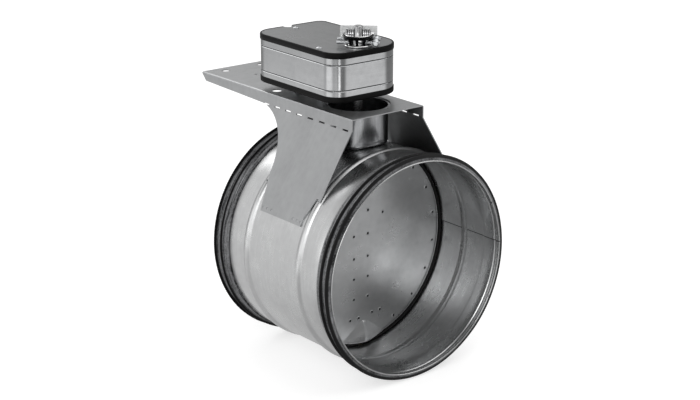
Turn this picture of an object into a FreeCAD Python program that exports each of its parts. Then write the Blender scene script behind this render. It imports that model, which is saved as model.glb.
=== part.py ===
import FreeCAD, Part
import math
import os

# Motorised shut-off damper for a round duct, in millimetres.
# The duct axis runs along Y with the open front at -Y, +Z is up the blade spindle,
# and the origin lies where the spindle axis crosses the duct axis.

os.makedirs("parts", exist_ok=True)

# Casing: a rolled tube of galvanised sheet, the same at both ends
spigot_r = 124.5            # outside radius that slips into a duct of 250 nominal
sheet = 0.8
casing_length = 216.0
insertion_length = 60.0     # from a rim to the middle of its stop bead
bead_width = 12.0
bead_height = 2.0
rim_land = 7.0              # plain band between the rim and the seal seat
seat_width = 19.5
seat_depth = 0.8
seat_slope = 0.8
hem_width = 4.5

# Lip seals
seal_band = 1.6             # rubber thickness over the spigot
lip_height = 6.5            # from the spigot to the tip of the outer lip
second_lip_height = 5.6
lip_thickness = 1.2
seal_from_rim = 2.2
second_lip_setback = 11.0   # from the outer lip to the second one

# Bracket: one folded sheet that carries the actuator clear of the insulation
bracket_sheet = 1.2
plate_stand = 44.8          # from the casing's crown to the plate's top
plate_half_width = 52.0
plate_front = -53.0
plate_rear = 237.5
fold_r = 2.5
flange_drop = 13.8          # from the plate's top to the line where the legs splay
rear_flange_drop = 10.0
rear_flange_slant = 8.5
leg_front_margin = 0.7
leg_tip = 84.5              # measured down the leg from the splay line
leg_step = 81.5
tongue_length = 30.5
tongue_root_half = 45.0
tongue_end_half = 37.0
leg_arc_low_y = 47.5
leg_arc_low_s = 72.0
leg_arc_top_y = 108.0
leg_arc_r = 76.0
slot_count = 8
slot_pitch = 20.87
slot_first_y = -41.4
slot_length = 10.0
slot_height = 1.8
well_r = 36.9               # round opening in the plate over the cup
rear_hole_r = 4.9
rear_hole_spacing = 52.8
rear_hole_y = 223.5
mid_hole_r = 6.0
mid_hole_spacing = 74.0
mid_hole_y = 104.3
pilot_hole_r = 2.0
pilot_hole_x = -9.2
pilot_hole_y = 184.2

# Cup between the casing and the plate
cup_r = 34.0
cup_sheet = 1.0
cup_flange_r = 45.0
cup_corner_r = 6.0
cup_lift = 2.0              # saddle height between the casing's crown and the cup

# Spindle, pivot and their bushes
spindle_r = 5.0
running = 0.05              # radial clearance of a turning fit
bush_r = 9.0                # threaded shoulder outside the casing
bush_nose_r = 6.3           # nose through the casing's wall
bush_reach = 3.1            # how far the nose stands into the duct
saddle_r = 15.5
nut_across_flats = 26.0
nut_height = 3.5
bush_top_stand = 2.0
spindle_stand = 22.8        # how far the spindle rises above the actuator
tang_end = 60.0             # inner end of both stubs, from the duct axis
tang_clearance = 1.0        # to the blade's gasket from where the stubs are fully round
end_float = 0.3

# Blade: two sheet discs with a rubber ring clamped between them
disc_sheet = 1.2
blade_core = 7.0            # space between the two discs
gasket_clearance = 0.5      # to the casing's inside
rim_overhang = 3.2          # how far the gasket stands past the discs
gasket_half_thickness = 8.0
gasket_lip_depth = 3.0
gasket_chamfer = 1.0
gasket_grip = 16.0          # how far the gasket reaches in between the discs
gasket_gap = 0.5            # around each bush nose
rail_width = 10.0
rail_sheet = 1.0
rail_end_gap = 12.0         # from a rail's end to the gasket
bulge_half_width = 23.0
bulge_height = 8.0
bulge_rise_length = 25.5    # from its apex to where it has its full size
bulge_rim_length = 2.0      # from there to the disc's rim
bulge_overrun = 6.0         # how far it is drawn past the rim, which trims it
bulge_steps = 6
ridge_half_share = 0.3      # half width of a bulge's rounded ridge against its own
ridge_foot_share = 0.78     # height at which that rounding starts

# Rotary actuator, set a little askew on the plate
skew = -0.9
act_stand = 9.9             # from the plate's top to its underside
act_height = 56.8
act_half_width = 50.8
act_front = -22.0
act_rear = 135.0
front_left_corner_r = 20.5
front_right_corner_r = 34.0
rear_left_corner_r = 25.0
rear_right_corner_r = 10.0
wall = 1.6
floor_sheet = 2.0
cover_sheet = 2.0
band_height = 6.8
band_proud = 0.8
band_lip = 1.0
lower_band_lap = 3.5
cover_sink = 0.3
groove_depth = 0.4
groove_height = 0.8
upper_groove_drop = 14.0
lower_groove_drop = 43.0
recess_width = 12.0
recess_depth = 8.0
recess_floor_drop = 9.0
recess_wall = 1.2
screw_r = 1.9
screw_head_r = 3.6
screw_head_height = 1.6
screw_length = 9.0
front_screw_x = 42.5
front_screw_y = 16.5
rear_screw_y = 118.0
support_y = (66.0, 118.0)
support_sleeve_r = 8.0
support_bolt_r = 3.0
support_head_flats = 10.0
support_head_height = 4.0
boss_r = 6.0
boss_height = 12.0
thread_play = 0.05
gland_x = 15.0
gland_drop = 31.5
gland_r = 6.0
gland_flats = 18.0
gland_length = 14.0
cable_bore_r = 3.2

# Gear train from the motor to the blade spindle
pressure_angle = 25.0
backlash = 0.16
addendum_factor = 0.95
dedendum_factor = 1.2
sector_teeth = 64
sector_module = 1.25
sector_from = -12.0
sector_to = 102.0
pinion_teeth = 12
second_teeth = 48
second_module = 1.0
first_teeth = 45
first_module = 0.8
first_bearing = math.radians(53.13)     # from the second axis to the first
motor_bearing = math.radians(126.87)    # from the first axis to the motor's
hub_r = 9.0
sector_hub_r = 12.0
axle_r = 3.0
sector_level = 8.3          # from the actuator's bottom
sector_width = 8.0
second_level = 18.3
second_width = 5.0
first_level = 25.3
first_width = 4.0
gear_play = 0.5             # how far a pinion is longer than its mate on each side
plate_level = 32.3
gear_plate_sheet = 2.0
post_r = 3.5
front_post = (24.0, -16.0)  # distance from the middle line, and place along it
rear_post = (43.5, 100.0)
motor_r = 17.5
motor_height = 17.0
motor_shaft_r = 1.5
motor_shaft_engaged = 12.0
spring_inner_r = 9.6
spring_outer_r = 20.0
spring_turns = 4
spring_steps = 18           # straight steps in one turn
spring_strip = 0.6
spring_height = 9.0
spring_level = 20.0
board_level = 8.3
board_sheet = 1.6
board_half_width = 34.0
board_front = 84.0
board_rear = 126.0
board_post_r = 2.5

# Spindle clamp on top of the actuator, turned from the blade's plane
clamp_turn = -42.0
ring_r = 16.3
ring_height = 1.9
crown_foot_r = 14.5
crown_top_r = 18.5
crown_height = 9.5
crown_wall = 2.2
crown_core_r = 8.0
crown_slots = 12
crown_slot_width = 2.6
clamp_plate_r = 14.6
clamp_plate_height = 1.5
jaw_reach = 16.0
jaw_half_width = 7.0
jaw_height = 5.6
jaw_gap = 0.8
serration_pitch = 2.6
serration_depth = 1.2
clamp_bolt_r = 2.0
clamp_bolt_offset = 9.0
clamp_bolt_rise = 3.2       # above the clamp ring
clamp_bolt_left = -24.0
clamp_bolt_right = 24.3
clamp_nut_seat = 17.3
clamp_nut_flats = 7.6
clamp_nut_height = 5.0
indicator_half_width = 21.0
indicator_sheet = 1.5
indicator_offset = 8.0
indicator_top = 7.7         # above the clamp plate
indicator_leg_drop = 4.9    # long leg on the left, below the top of the clamp plate
indicator_heel_drop = 2.4   # short leg above the nuts on the right
indicator_leg_play = 0.4

# Worked out from the sizes above
half_length = casing_length / 2
inner_r = spigot_r - sheet
gasket_r = inner_r - gasket_clearance
disc_r = gasket_r - rim_overhang
gasket_inner_r = disc_r - gasket_grip
tang_start = gasket_inner_r - tang_clearance
rail_half_length = gasket_inner_r - rail_end_gap
bulge_base = disc_r - bulge_rim_length
bulge_apex = bulge_base - bulge_rise_length
bulge_end = disc_r + bulge_overrun
bead_y = half_length - insertion_length
seat_start = rim_land
seat_end = rim_land + seat_width
plate_top = spigot_r + plate_stand
splay_z = plate_top - flange_drop
cup_floor = spigot_r + cup_lift
plate_under = plate_top - bracket_sheet
disc_face = blade_core / 2 + disc_sheet
act_bottom = plate_top + act_stand
act_top = act_bottom + act_height
spindle_top = act_top + spindle_stand
cover_top = act_top - cover_sink
cover_under = cover_top - cover_sheet
housing_foot = act_bottom + band_lip
housing_floor = housing_foot + floor_sheet
housing_rim = act_top - band_lip
ring_foot = cover_top + end_float
crown_foot = ring_foot + ring_height
clamp_plate_foot = crown_foot + crown_height
jaw_foot = clamp_plate_foot + clamp_plate_height
gear_plate_foot = act_bottom + plate_level
gear_plate_top = gear_plate_foot + gear_plate_sheet
second_axis = (0.0, sector_module * (sector_teeth + pinion_teeth) / 2)
first_distance = second_module * (second_teeth + pinion_teeth) / 2
motor_distance = first_module * (first_teeth + pinion_teeth) / 2
first_axis = (second_axis[0] + first_distance * math.cos(first_bearing),
              second_axis[1] + first_distance * math.sin(first_bearing))
motor_axis = (first_axis[0] + motor_distance * math.cos(motor_bearing),
              first_axis[1] + motor_distance * math.sin(motor_bearing))

origin = FreeCAD.Vector(0, 0, 0)
x_axis = FreeCAD.Vector(1, 0, 0)
y_axis = FreeCAD.Vector(0, 1, 0)
z_axis = FreeCAD.Vector(0, 0, 1)


def path(start, *steps):
    """Edges from a start point; a step is (end,) for a line or (via, end) for an arc."""
    edges = []
    here = start
    for step in steps:
        if len(step) == 1:
            edges.append(Part.makeLine(here, step[0]))
        else:
            edges.append(Part.Arc(here, step[0], step[1]).toShape())
        here = step[-1]
    return edges


def turned_about_y(edges):
    return Part.Face(Part.Wire(edges)).revolve(origin, y_axis, 360)


def turned_about_z(edges):
    return Part.Face(Part.Wire(edges)).revolve(origin, z_axis, 360)


def ring_profile(points):
    """Closed outline in the XZ plane from (radius, height) pairs."""
    corners = [FreeCAD.Vector(r, 0, z) for r, z in points]
    return Part.makePolygon(corners + corners[:1]).Edges


def cylinder(r, low, high, x=0.0, y=0.0):
    return Part.makeCylinder(r, high - low, FreeCAD.Vector(x, y, low))


def duct_cylinder(r):
    """A long cylinder along the duct axis, for shaping what sits on the casing."""
    return Part.makeCylinder(r, casing_length, FreeCAD.Vector(0, -half_length, 0), y_axis)


def box(low, high):
    size = FreeCAD.Vector(*high) - FreeCAD.Vector(*low)
    return Part.makeBox(size.x, size.y, size.z, FreeCAD.Vector(*low))


def prism(points, low, high):
    """Prism along Z over a closed outline of (x, y) points."""
    corners = [FreeCAD.Vector(x, y, low) for x, y in points]
    face = Part.Face(Part.makePolygon(corners + corners[:1]))
    return face.extrude(FreeCAD.Vector(0, 0, high - low))


def hexagon(across_flats, low, high, x=0.0, y=0.0):
    r = across_flats / math.sqrt(3)
    turns = [math.radians(60 * i) for i in range(6)]
    return prism([(x + r * math.cos(t), y + r * math.sin(t)) for t in turns], low, high)


def mirrored_y(shape):
    return shape.mirror(origin, y_axis)


def save(name, *solids):
    shape = solids[0] if len(solids) == 1 else Part.makeCompound(list(solids))
    shape.exportStep(os.path.join("parts", name + ".step"))


def wall_point(from_rim, r):
    return FreeCAD.Vector(r, from_rim - half_length, 0)


def wall_steps(r):
    """Wall line at radius r, from the plain rim to the middle of the casing."""
    seat_r = r - seat_depth
    bead_in = insertion_length - bead_width / 2
    bead_out = insertion_length + bead_width / 2
    return [
        (wall_point(seat_start, r),),
        (wall_point(seat_start + seat_slope, seat_r),),
        (wall_point(seat_end - seat_slope, seat_r),),
        (wall_point(seat_end, r),),
        (wall_point(bead_in, r),),
        (wall_point(insertion_length, r + bead_height), wall_point(bead_out, r)),
        (wall_point(half_length, r),),
    ]


def casing():
    """Tube with a hemmed rim, a seal seat and a stop bead at each end."""
    outer = path(wall_point(sheet, spigot_r), *wall_steps(spigot_r))
    inner = path(wall_point(hem_width, inner_r), *wall_steps(inner_r))
    middle = Part.makeLine(wall_point(half_length, spigot_r), wall_point(half_length, inner_r))
    hem_r = inner_r - sheet
    hem = path(
        wall_point(hem_width, inner_r),
        (wall_point(hem_width, hem_r),),
        (wall_point(sheet, hem_r),),
        (wall_point(0, inner_r), wall_point(sheet, spigot_r)),
    )
    loop = Part.Wire(Part.__sortEdges__(outer + inner + [middle] + hem))
    front = Part.Face(loop).revolve(origin, y_axis, 360)
    tube = front.fuse(mirrored_y(front)).removeSplitter()
    bush_hole = cylinder(bush_nose_r, -spigot_r - cup_lift, spigot_r + cup_lift)
    return tube.cut(bush_hole)


def lip(from_rim, height):
    """Radial lip whose tip leans a little towards the casing's middle."""
    lean = 2 * lip_thickness
    foot = spigot_r + seal_band
    return [
        wall_point(from_rim, foot),
        wall_point(from_rim + lean - lip_thickness, spigot_r + height),
        wall_point(from_rim + lean, spigot_r + height),
        wall_point(from_rim + 2 * lip_thickness, foot),
    ]


def lip_seal():
    """Rubber ring on the front spigot, seated in its groove, with two lips."""
    seat_r = spigot_r - seat_depth
    points = [
        wall_point(seal_from_rim, spigot_r),
        *lip(seal_from_rim, lip_height),
        *lip(seal_from_rim + second_lip_setback, second_lip_height),
        wall_point(seat_end - lip_thickness, spigot_r + seal_band),
        wall_point(seat_end, spigot_r),
        wall_point(seat_end - seat_slope, seat_r),
        wall_point(seat_start + seat_slope, seat_r),
        wall_point(seat_start, spigot_r),
    ]
    return turned_about_y(Part.makePolygon(points + points[:1]).Edges)


def leg_direction():
    """Unit vector down the leg and its outward normal, in XZ, tangent to the casing."""
    reach = math.hypot(plate_half_width, splay_z)
    touch_r = spigot_r + bracket_sheet
    angle = math.atan2(splay_z, plate_half_width) - math.acos(touch_r / reach)
    return (math.sin(angle), -math.cos(angle)), (math.cos(angle), math.sin(angle))


def right_leg():
    """Splayed leg with its rear edge swept in an arc and a tongue on the casing."""
    down, normal = leg_direction()

    def at(y, s):
        return FreeCAD.Vector(plate_half_width + s * down[0], y, splay_z + s * down[1])

    front_y = plate_front + leg_front_margin
    tongue_end = leg_step + tongue_length
    chord_y = leg_arc_top_y - leg_arc_low_y
    chord = math.hypot(chord_y, leg_arc_low_s)
    sagitta = leg_arc_r - math.sqrt(leg_arc_r ** 2 - (chord / 2) ** 2)
    via_y = (leg_arc_top_y + leg_arc_low_y) / 2 - sagitta * leg_arc_low_s / chord
    via_s = leg_arc_low_s / 2 - sagitta * chord_y / chord
    start = at(front_y, -bracket_sheet)
    edges = path(
        start,
        (at(front_y, leg_tip),),
        (at(-tongue_root_half, leg_step),),
        (at(-tongue_end_half, tongue_end),),
        (at(tongue_end_half, tongue_end),),
        (at(tongue_root_half, leg_step),),
        (at(leg_arc_low_y, leg_arc_low_s),),
        (at(via_y, via_s), at(leg_arc_top_y, 0)),
        (at(leg_arc_top_y, -bracket_sheet),),
        (start,),
    )
    thickness = FreeCAD.Vector(-normal[0], 0, -normal[1]) * bracket_sheet
    return Part.Face(Part.Wire(edges)).extrude(thickness)


def bracket():
    """Plate with down-turned side flanges, two legs, a row of slots and its holes."""
    w = plate_half_width
    z = plate_top
    inner = fold_r - bracket_sheet
    bend = math.sqrt(0.5)

    def corner(side, r):
        """Start, middle and end of a fold from the plate into a side flange."""
        x = side * (w - fold_r)
        zc = z - fold_r
        return (FreeCAD.Vector(x, plate_front, zc + r),
                FreeCAD.Vector(x + side * r * bend, plate_front, zc + r * bend),
                FreeCAD.Vector(x + side * r, plate_front, zc))

    left_out = corner(-1, fold_r)
    right_out = corner(1, fold_r)
    left_in = corner(-1, inner)
    right_in = corner(1, inner)

    def foot(x):
        return FreeCAD.Vector(x, plate_front, splay_z)

    section = path(
        foot(-w),
        (left_out[2],),
        (left_out[1], left_out[0]),
        (right_out[0],),
        (right_out[1], right_out[2]),
        (foot(w),),
        (foot(w - bracket_sheet),),
        (right_in[2],),
        (right_in[1], right_in[0]),
        (left_in[0],),
        (left_in[1], left_in[2]),
        (foot(-w + bracket_sheet),),
        (foot(-w),),
    )
    length = plate_rear - plate_front
    body = Part.Face(Part.Wire(section)).extrude(FreeCAD.Vector(0, length, 0))
    rear_low = plate_top - rear_flange_drop
    trim = [
        FreeCAD.Vector(-w, leg_arc_top_y, splay_z),
        FreeCAD.Vector(-w, plate_rear - rear_flange_slant, rear_low),
        FreeCAD.Vector(-w, plate_rear, plate_under),
        FreeCAD.Vector(-w, plate_rear + bracket_sheet, plate_under),
        FreeCAD.Vector(-w, plate_rear + bracket_sheet, splay_z),
    ]
    below_flanges = Part.Face(Part.makePolygon(trim + trim[:1])).extrude(x_axis * 2 * w)
    body = body.cut(below_flanges)
    leg = right_leg()
    body = body.fuse([leg, leg.mirror(origin, x_axis)]).removeSplitter()
    cuts = [cylinder(well_r, plate_under, plate_top)]
    for side in (-1, 1):
        cuts.append(plate_hole(rear_hole_r, side * rear_hole_spacing / 2, rear_hole_y))
        cuts.append(plate_hole(mid_hole_r, side * mid_hole_spacing / 2, mid_hole_y))
        for k in range(slot_count):
            cuts.append(fold_slot(side, slot_first_y + k * slot_pitch))
    cuts.append(plate_hole(pilot_hole_r, pilot_hole_x, pilot_hole_y))
    for y in support_y:
        x_here, y_here = on_actuator(0, y)
        cuts.append(plate_hole(support_bolt_r + thread_play, x_here, y_here))
    return body.cut(cuts)


def plate_hole(r, x, y):
    return cylinder(r, plate_under, plate_top, x, y)


def fold_slot(side, y):
    """Slot that weakens the fold line between a side flange and its leg."""
    depth = 2 * bracket_sheet
    x = side * plate_half_width
    low = (x - depth, y - slot_length / 2, splay_z - slot_height / 2)
    high = (x + depth, y + slot_length / 2, splay_z + slot_height / 2)
    return box(low, high)


def spindle_cup():
    """Drawn cup, open at the top, with a rim flange under the plate."""
    corner = cup_corner_r
    inner_corner = cup_corner_r - cup_sheet
    bend = math.sqrt(0.5)
    centre_r = cup_r - corner
    centre_z = cup_floor + corner

    def at(r, z):
        return FreeCAD.Vector(r, 0, z)

    def on_corner(r):
        return at(centre_r + r * bend, centre_z - r * bend)

    profile = path(
        at(bush_r, cup_floor),
        (at(centre_r, cup_floor),),
        (on_corner(corner), at(cup_r, centre_z)),
        (at(cup_r, plate_under - cup_sheet),),
        (at(cup_flange_r, plate_under - cup_sheet),),
        (at(cup_flange_r, plate_under),),
        (at(cup_r - cup_sheet, plate_under),),
        (at(cup_r - cup_sheet, centre_z),),
        (on_corner(inner_corner), at(centre_r, cup_floor + cup_sheet)),
        (at(bush_r, cup_floor + cup_sheet),),
        (at(bush_r, cup_floor),),
    )
    return turned_about_z(profile)


def stepped_bush(top):
    """Nose through the casing's wall and a threaded shoulder that stands on it."""
    nose = cylinder(bush_nose_r, inner_r - bush_reach, top)
    shoulder = cylinder(bush_r, inner_r, top).cut(duct_cylinder(spigot_r))
    return nose.fuse(shoulder).removeSplitter()


def upper_bush():
    """Bush that the spindle turns in, screwed through the saddle."""
    top = cup_floor + cup_sheet + nut_height + bush_top_stand
    return stepped_bush(top).cut(cylinder(spindle_r + running, 0, top))


def saddle(top_z):
    """Welded boss with a flat top and a foot hollowed to the casing's curve."""
    disc = cylinder(saddle_r, inner_r - cup_lift, top_z)
    hollow = duct_cylinder(spigot_r)
    return disc.cut([hollow, cylinder(bush_r, 0, top_z)])


def upper_bush_nut():
    """Nut that locks the bush and holds the cup down on the saddle."""
    low = cup_floor + cup_sheet
    high = low + nut_height
    return hexagon(nut_across_flats, low, high).cut(cylinder(bush_r, low, high))


def lower_bush():
    """Blind bush for the pivot pin."""
    top = cup_floor + nut_height
    upright = stepped_bush(top).cut(cylinder(spindle_r + running, 0, top - sheet))
    return upright.mirror(origin, z_axis)


def lower_bush_nut():
    low = cup_floor
    high = cup_floor + nut_height
    nut = hexagon(nut_across_flats, low, high).cut(cylinder(bush_r, low, high))
    return nut.mirror(origin, z_axis)


def flatten(rod):
    """Mill the inner end of a stub down to the space between the two discs."""
    cuts = []
    for side in (-1, 1):
        y = side * blade_core / 2
        far = side * spindle_r * 2
        low = (-spindle_r, min(y, far), 0)
        high = (spindle_r, max(y, far), tang_start)
        cuts.append(box(low, high))
    return rod.cut(cuts)


def drive_spindle():
    return flatten(cylinder(spindle_r, tang_end, spindle_top))


def pivot_pin():
    foot = cup_floor + nut_height - sheet - end_float
    return flatten(cylinder(spindle_r, tang_end, foot)).mirror(origin, z_axis)


def bulge(inset):
    """Half dome with an upright ridge over the upper stub, on the front, drawn in by an inset."""
    half = bulge_half_width - 2 * inset
    depth = bulge_base - bulge_apex - 2 * inset
    base = -disc_face + inset

    def arch(z, share):
        """Closed outline across the bulge: two flanks and the rounded ridge between them."""
        w = half * share
        h = bulge_height * math.sqrt(share)
        left = FreeCAD.Vector(-w, base, z)
        right = FreeCAD.Vector(w, base, z)
        shoulder_y = base - ridge_foot_share * h
        return Part.Wire(path(
            left,
            (FreeCAD.Vector(-ridge_half_share * w, shoulder_y, z),),
            (FreeCAD.Vector(0, base - h, z), FreeCAD.Vector(ridge_half_share * w, shoulder_y, z)),
            (right,),
            (left,),
        ))

    turns = [math.radians(90.0 * k / bulge_steps) for k in range(bulge_steps)]
    dome = [arch(bulge_base - depth * math.sin(t), math.cos(t)) for t in turns]
    open_end = Part.makeLoft([arch(bulge_end, 1.0), dome[0]], True, True)
    return open_end.fuse(Part.makeLoft(dome, True, False))


def front_disc():
    """Round sheet with a bulge over each stub that runs out through its rim."""
    start = FreeCAD.Vector(0, -disc_face, 0)
    disc = Part.makeCylinder(disc_r, disc_sheet, start, y_axis)
    for flip in (False, True):
        outside = bulge(0.0).common(duct_cylinder(disc_r))
        inside = bulge(disc_sheet)
        if flip:
            outside = outside.mirror(origin, z_axis)
            inside = inside.mirror(origin, z_axis)
        disc = disc.fuse(outside).cut(inside)
    return disc.removeSplitter()


def blade_gasket():
    """Rubber ring clamped between the discs, its outer bead wiping the casing."""
    web = blade_core / 2
    lip_r = gasket_r - gasket_lip_depth
    edge = gasket_half_thickness

    def at(r, y):
        return FreeCAD.Vector(r, y, 0)

    profile = path(
        at(gasket_inner_r, -web),
        (at(lip_r, -web),),
        (at(lip_r, -edge),),
        (at(gasket_r - gasket_chamfer, -edge),),
        (at(gasket_r, gasket_chamfer - edge),),
        (at(gasket_r, edge - gasket_chamfer),),
        (at(gasket_r - gasket_chamfer, edge),),
        (at(lip_r, edge),),
        (at(lip_r, web),),
        (at(gasket_inner_r, web),),
        (at(gasket_inner_r, -web),),
    )
    ring = turned_about_y(profile)
    gap = cylinder(bush_nose_r + gasket_gap, -spigot_r, spigot_r)
    return ring.cut(gap)


def blade_rails():
    """Two folded channels, one each side of the stubs, that the discs clinch to."""
    half = blade_core / 2
    rails = []
    for side in (-1, 1):
        web_x = side * spindle_r
        far_x = side * (spindle_r + rail_width)
        inner_x = side * (spindle_r + rail_sheet)
        low_x, high_x = sorted((web_x, far_x))
        hollow_low, hollow_high = sorted((inner_x, far_x))
        solid = box((low_x, -half, -rail_half_length), (high_x, half, rail_half_length))
        hollow = box((hollow_low, -half + rail_sheet, -rail_half_length),
                     (hollow_high, half - rail_sheet, rail_half_length))
        rails.append(solid.cut(hollow))
    return rails


def on_actuator(x, y):
    """Row position of a point given in the actuator's own skewed frame."""
    turn = math.radians(skew)
    return (x * math.cos(turn) - y * math.sin(turn), x * math.sin(turn) + y * math.cos(turn))


def skewed(shape):
    turned = shape.copy()
    turned.rotate(origin, z_axis, skew)
    return turned


def case_prism(inset, low, high):
    """Prism over the actuator's rounded outline, drawn in by an inset."""
    w = act_half_width - inset
    front = act_front + inset
    rear = act_rear - inset
    quarter = math.pi / 2
    corners = [
        (-w, front, front_left_corner_r, 2 * quarter),
        (w, front, front_right_corner_r, 3 * quarter),
        (w, rear, rear_right_corner_r, 0),
        (-w, rear, rear_left_corner_r, quarter),
    ]
    edges = []
    last = None
    first = None
    for x, y, full_r, start in corners:
        r = full_r - inset
        cx = x - math.copysign(r, x)
        cy = y + r if y == front else y - r
        arc = [FreeCAD.Vector(cx + r * math.cos(start + t), cy + r * math.sin(start + t), low)
               for t in (0, quarter / 2, quarter)]
        if last is not None:
            edges.append(Part.makeLine(last, arc[0]))
        else:
            first = arc[0]
        edges.append(Part.Arc(*arc).toShape())
        last = arc[2]
    edges.append(Part.makeLine(last, first))
    return Part.Face(Part.Wire(edges)).extrude(FreeCAD.Vector(0, 0, high - low))


def recess_prism(grow, low, high):
    """U-shaped recess in the middle of the rear edge, grown by a margin."""
    half = recess_width / 2 + grow
    inner_y = act_rear - recess_depth + recess_width / 2
    nose = cylinder(half, low, high, 0, inner_y)
    mouth = box((-half, inner_y, low), (half, act_rear + 2 * band_proud, high))
    return nose.fuse(mouth)


def housing():
    """Drawn tub with a flat floor, two rolled grooves, posts and bosses."""
    tub = case_prism(0, housing_foot, housing_rim)
    tub = tub.cut(case_prism(wall, housing_floor, housing_rim))
    for drop in (upper_groove_drop, lower_groove_drop):
        low = act_top - drop - groove_height / 2
        high = act_top - drop + groove_height / 2
        groove = case_prism(-band_proud, low, high).cut(case_prism(groove_depth, low, high))
        tub = tub.cut(groove)
    room = case_prism(0, housing_foot, housing_rim)
    stands = []
    for side in (-1, 1):
        for x, y in (front_post, rear_post):
            stands.append(cylinder(post_r, housing_foot, gear_plate_foot, side * x, y))
        for y in (board_front + board_post_r, board_rear - 2 * board_post_r):
            x = side * (board_half_width - 2 * board_post_r)
            stands.append(cylinder(board_post_r, housing_foot, act_bottom + board_level, x, y))
    for y in support_y:
        stands.append(cylinder(boss_r, housing_foot, housing_floor + boss_height, 0, y))
    stands = [stand.common(room) for stand in stands]
    tub = tub.fuse(stands).removeSplitter()
    cuts = [cylinder(hub_r + running, housing_foot, housing_floor)]
    for y in support_y:
        cuts.append(cylinder(support_bolt_r + thread_play, housing_foot, housing_floor + boss_height, 0, y))
    for x, y in (second_axis, first_axis):
        cuts.append(cylinder(axle_r, housing_floor - floor_sheet / 2, housing_floor, x, y))
    recess_low = act_top - recess_floor_drop - recess_wall
    cuts.append(recess_prism(recess_wall, recess_low, housing_rim))
    gland_z = act_top - gland_drop
    start = FreeCAD.Vector(gland_x, act_rear - 2 * wall, gland_z)
    cuts.append(Part.makeCylinder(gland_r, 3 * wall, start, y_axis))
    return tub.cut(cuts)


def lower_band():
    """Rubber edge band round the foot of the housing, lapped under its floor."""
    band = case_prism(-band_proud, act_bottom, act_bottom + band_height)
    return band.cut([
        case_prism(0, housing_foot, act_bottom + band_height),
        case_prism(lower_band_lap, act_bottom, housing_foot),
    ])


def upper_band():
    """Rubber edge band round the cover, open at the recess."""
    low = act_top - band_height
    band = case_prism(-band_proud, low, act_top)
    return band.cut([
        case_prism(0, low, housing_rim),
        case_prism(wall, housing_rim, act_top),
        recess_prism(recess_wall, low, act_top),
    ])


def top_cover():
    """Flat cover inside the band, with a pocket that opens to the rear."""
    plate = case_prism(wall, cover_under, cover_top)
    pocket_low = act_top - recess_floor_drop - recess_wall
    inside = case_prism(0, pocket_low, cover_top)
    pocket = recess_prism(recess_wall, pocket_low, cover_top).common(inside)
    cover = plate.fuse(pocket).removeSplitter()
    cuts = [
        recess_prism(0, act_top - recess_floor_drop, act_top),
        cylinder(hub_r + running, cover_under, cover_top),
    ]
    for x, y in cover_screw_places():
        cuts.append(cylinder(screw_r, cover_under, cover_top, x, y))
    return cover.cut(cuts)


def cover_screw_places():
    return [(-front_screw_x, front_screw_y), (front_screw_x, front_screw_y), (0.0, rear_screw_y)]


def cover_screws():
    """Pan-head screws through the cover into the pillars on the gear plate."""
    screws = []
    for x, y in cover_screw_places():
        head = cylinder(screw_head_r, cover_top, cover_top + screw_head_height, x, y)
        shank = cylinder(screw_r, cover_top - screw_length, cover_top, x, y)
        screws.append(head.fuse(shank).removeSplitter())
    return screws


def gear_plate():
    """Plate across the housing that carries the motor, pillars and spring post."""
    plate = case_prism(wall + thread_play, gear_plate_foot, gear_plate_top)
    pillars = [cylinder(post_r, gear_plate_foot, cover_under, x, y) for x, y in cover_screw_places()]
    post_out = spring_outer_r + spring_strip + board_post_r
    spring_low = act_bottom + spring_level
    spring_post = cylinder(board_post_r, spring_low, gear_plate_foot, -post_out, 0)
    body = plate.fuse(pillars + [spring_post]).removeSplitter()
    cuts = [cylinder(hub_r + 2 * thread_play, gear_plate_foot, gear_plate_top)]
    for x, y in (second_axis, first_axis):
        cuts.append(cylinder(axle_r, gear_plate_foot, gear_plate_top, x, y))
    cuts.append(cylinder(motor_shaft_r + gear_play, gear_plate_foot, gear_plate_top, *motor_axis))
    for x, y in cover_screw_places():
        cuts.append(cylinder(screw_r, cover_top - screw_length, cover_under, x, y))
    return body.cut(cuts)


def support_sleeves():
    """Sleeves that hold the actuator off the plate."""
    sleeves = []
    for y in support_y:
        outside = cylinder(support_sleeve_r, plate_top, housing_foot, 0, y)
        bore = cylinder(support_bolt_r + thread_play, plate_top, housing_foot, 0, y)
        sleeves.append(outside.cut(bore))
    return sleeves


def support_bolts():
    """Hexagon bolts from under the plate into the housing's bosses."""
    bolts = []
    for y in support_y:
        head = hexagon(support_head_flats, plate_under - support_head_height, plate_under, 0, y)
        shank = cylinder(support_bolt_r, plate_under, housing_floor + boss_height, 0, y)
        bolts.append(head.fuse(shank).removeSplitter())
    return bolts


def cable_gland():
    """Inlet on the rear end for the supply lead."""
    z = act_top - gland_drop
    start = FreeCAD.Vector(gland_x, act_rear - 2 * wall, z)
    body = Part.makeCylinder(gland_r, gland_length + 2 * wall, start, y_axis)
    collar = hexagon(gland_flats, 0, gland_length / 2)
    collar.rotate(origin, x_axis, -90)
    collar.translate(FreeCAD.Vector(gland_x, act_rear, z))
    bore = Part.makeCylinder(cable_bore_r, gland_length + 4 * wall, start, y_axis)
    return body.fuse(collar).removeSplitter().cut(bore)


def involute(angle):
    return math.tan(angle) - angle


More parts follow.
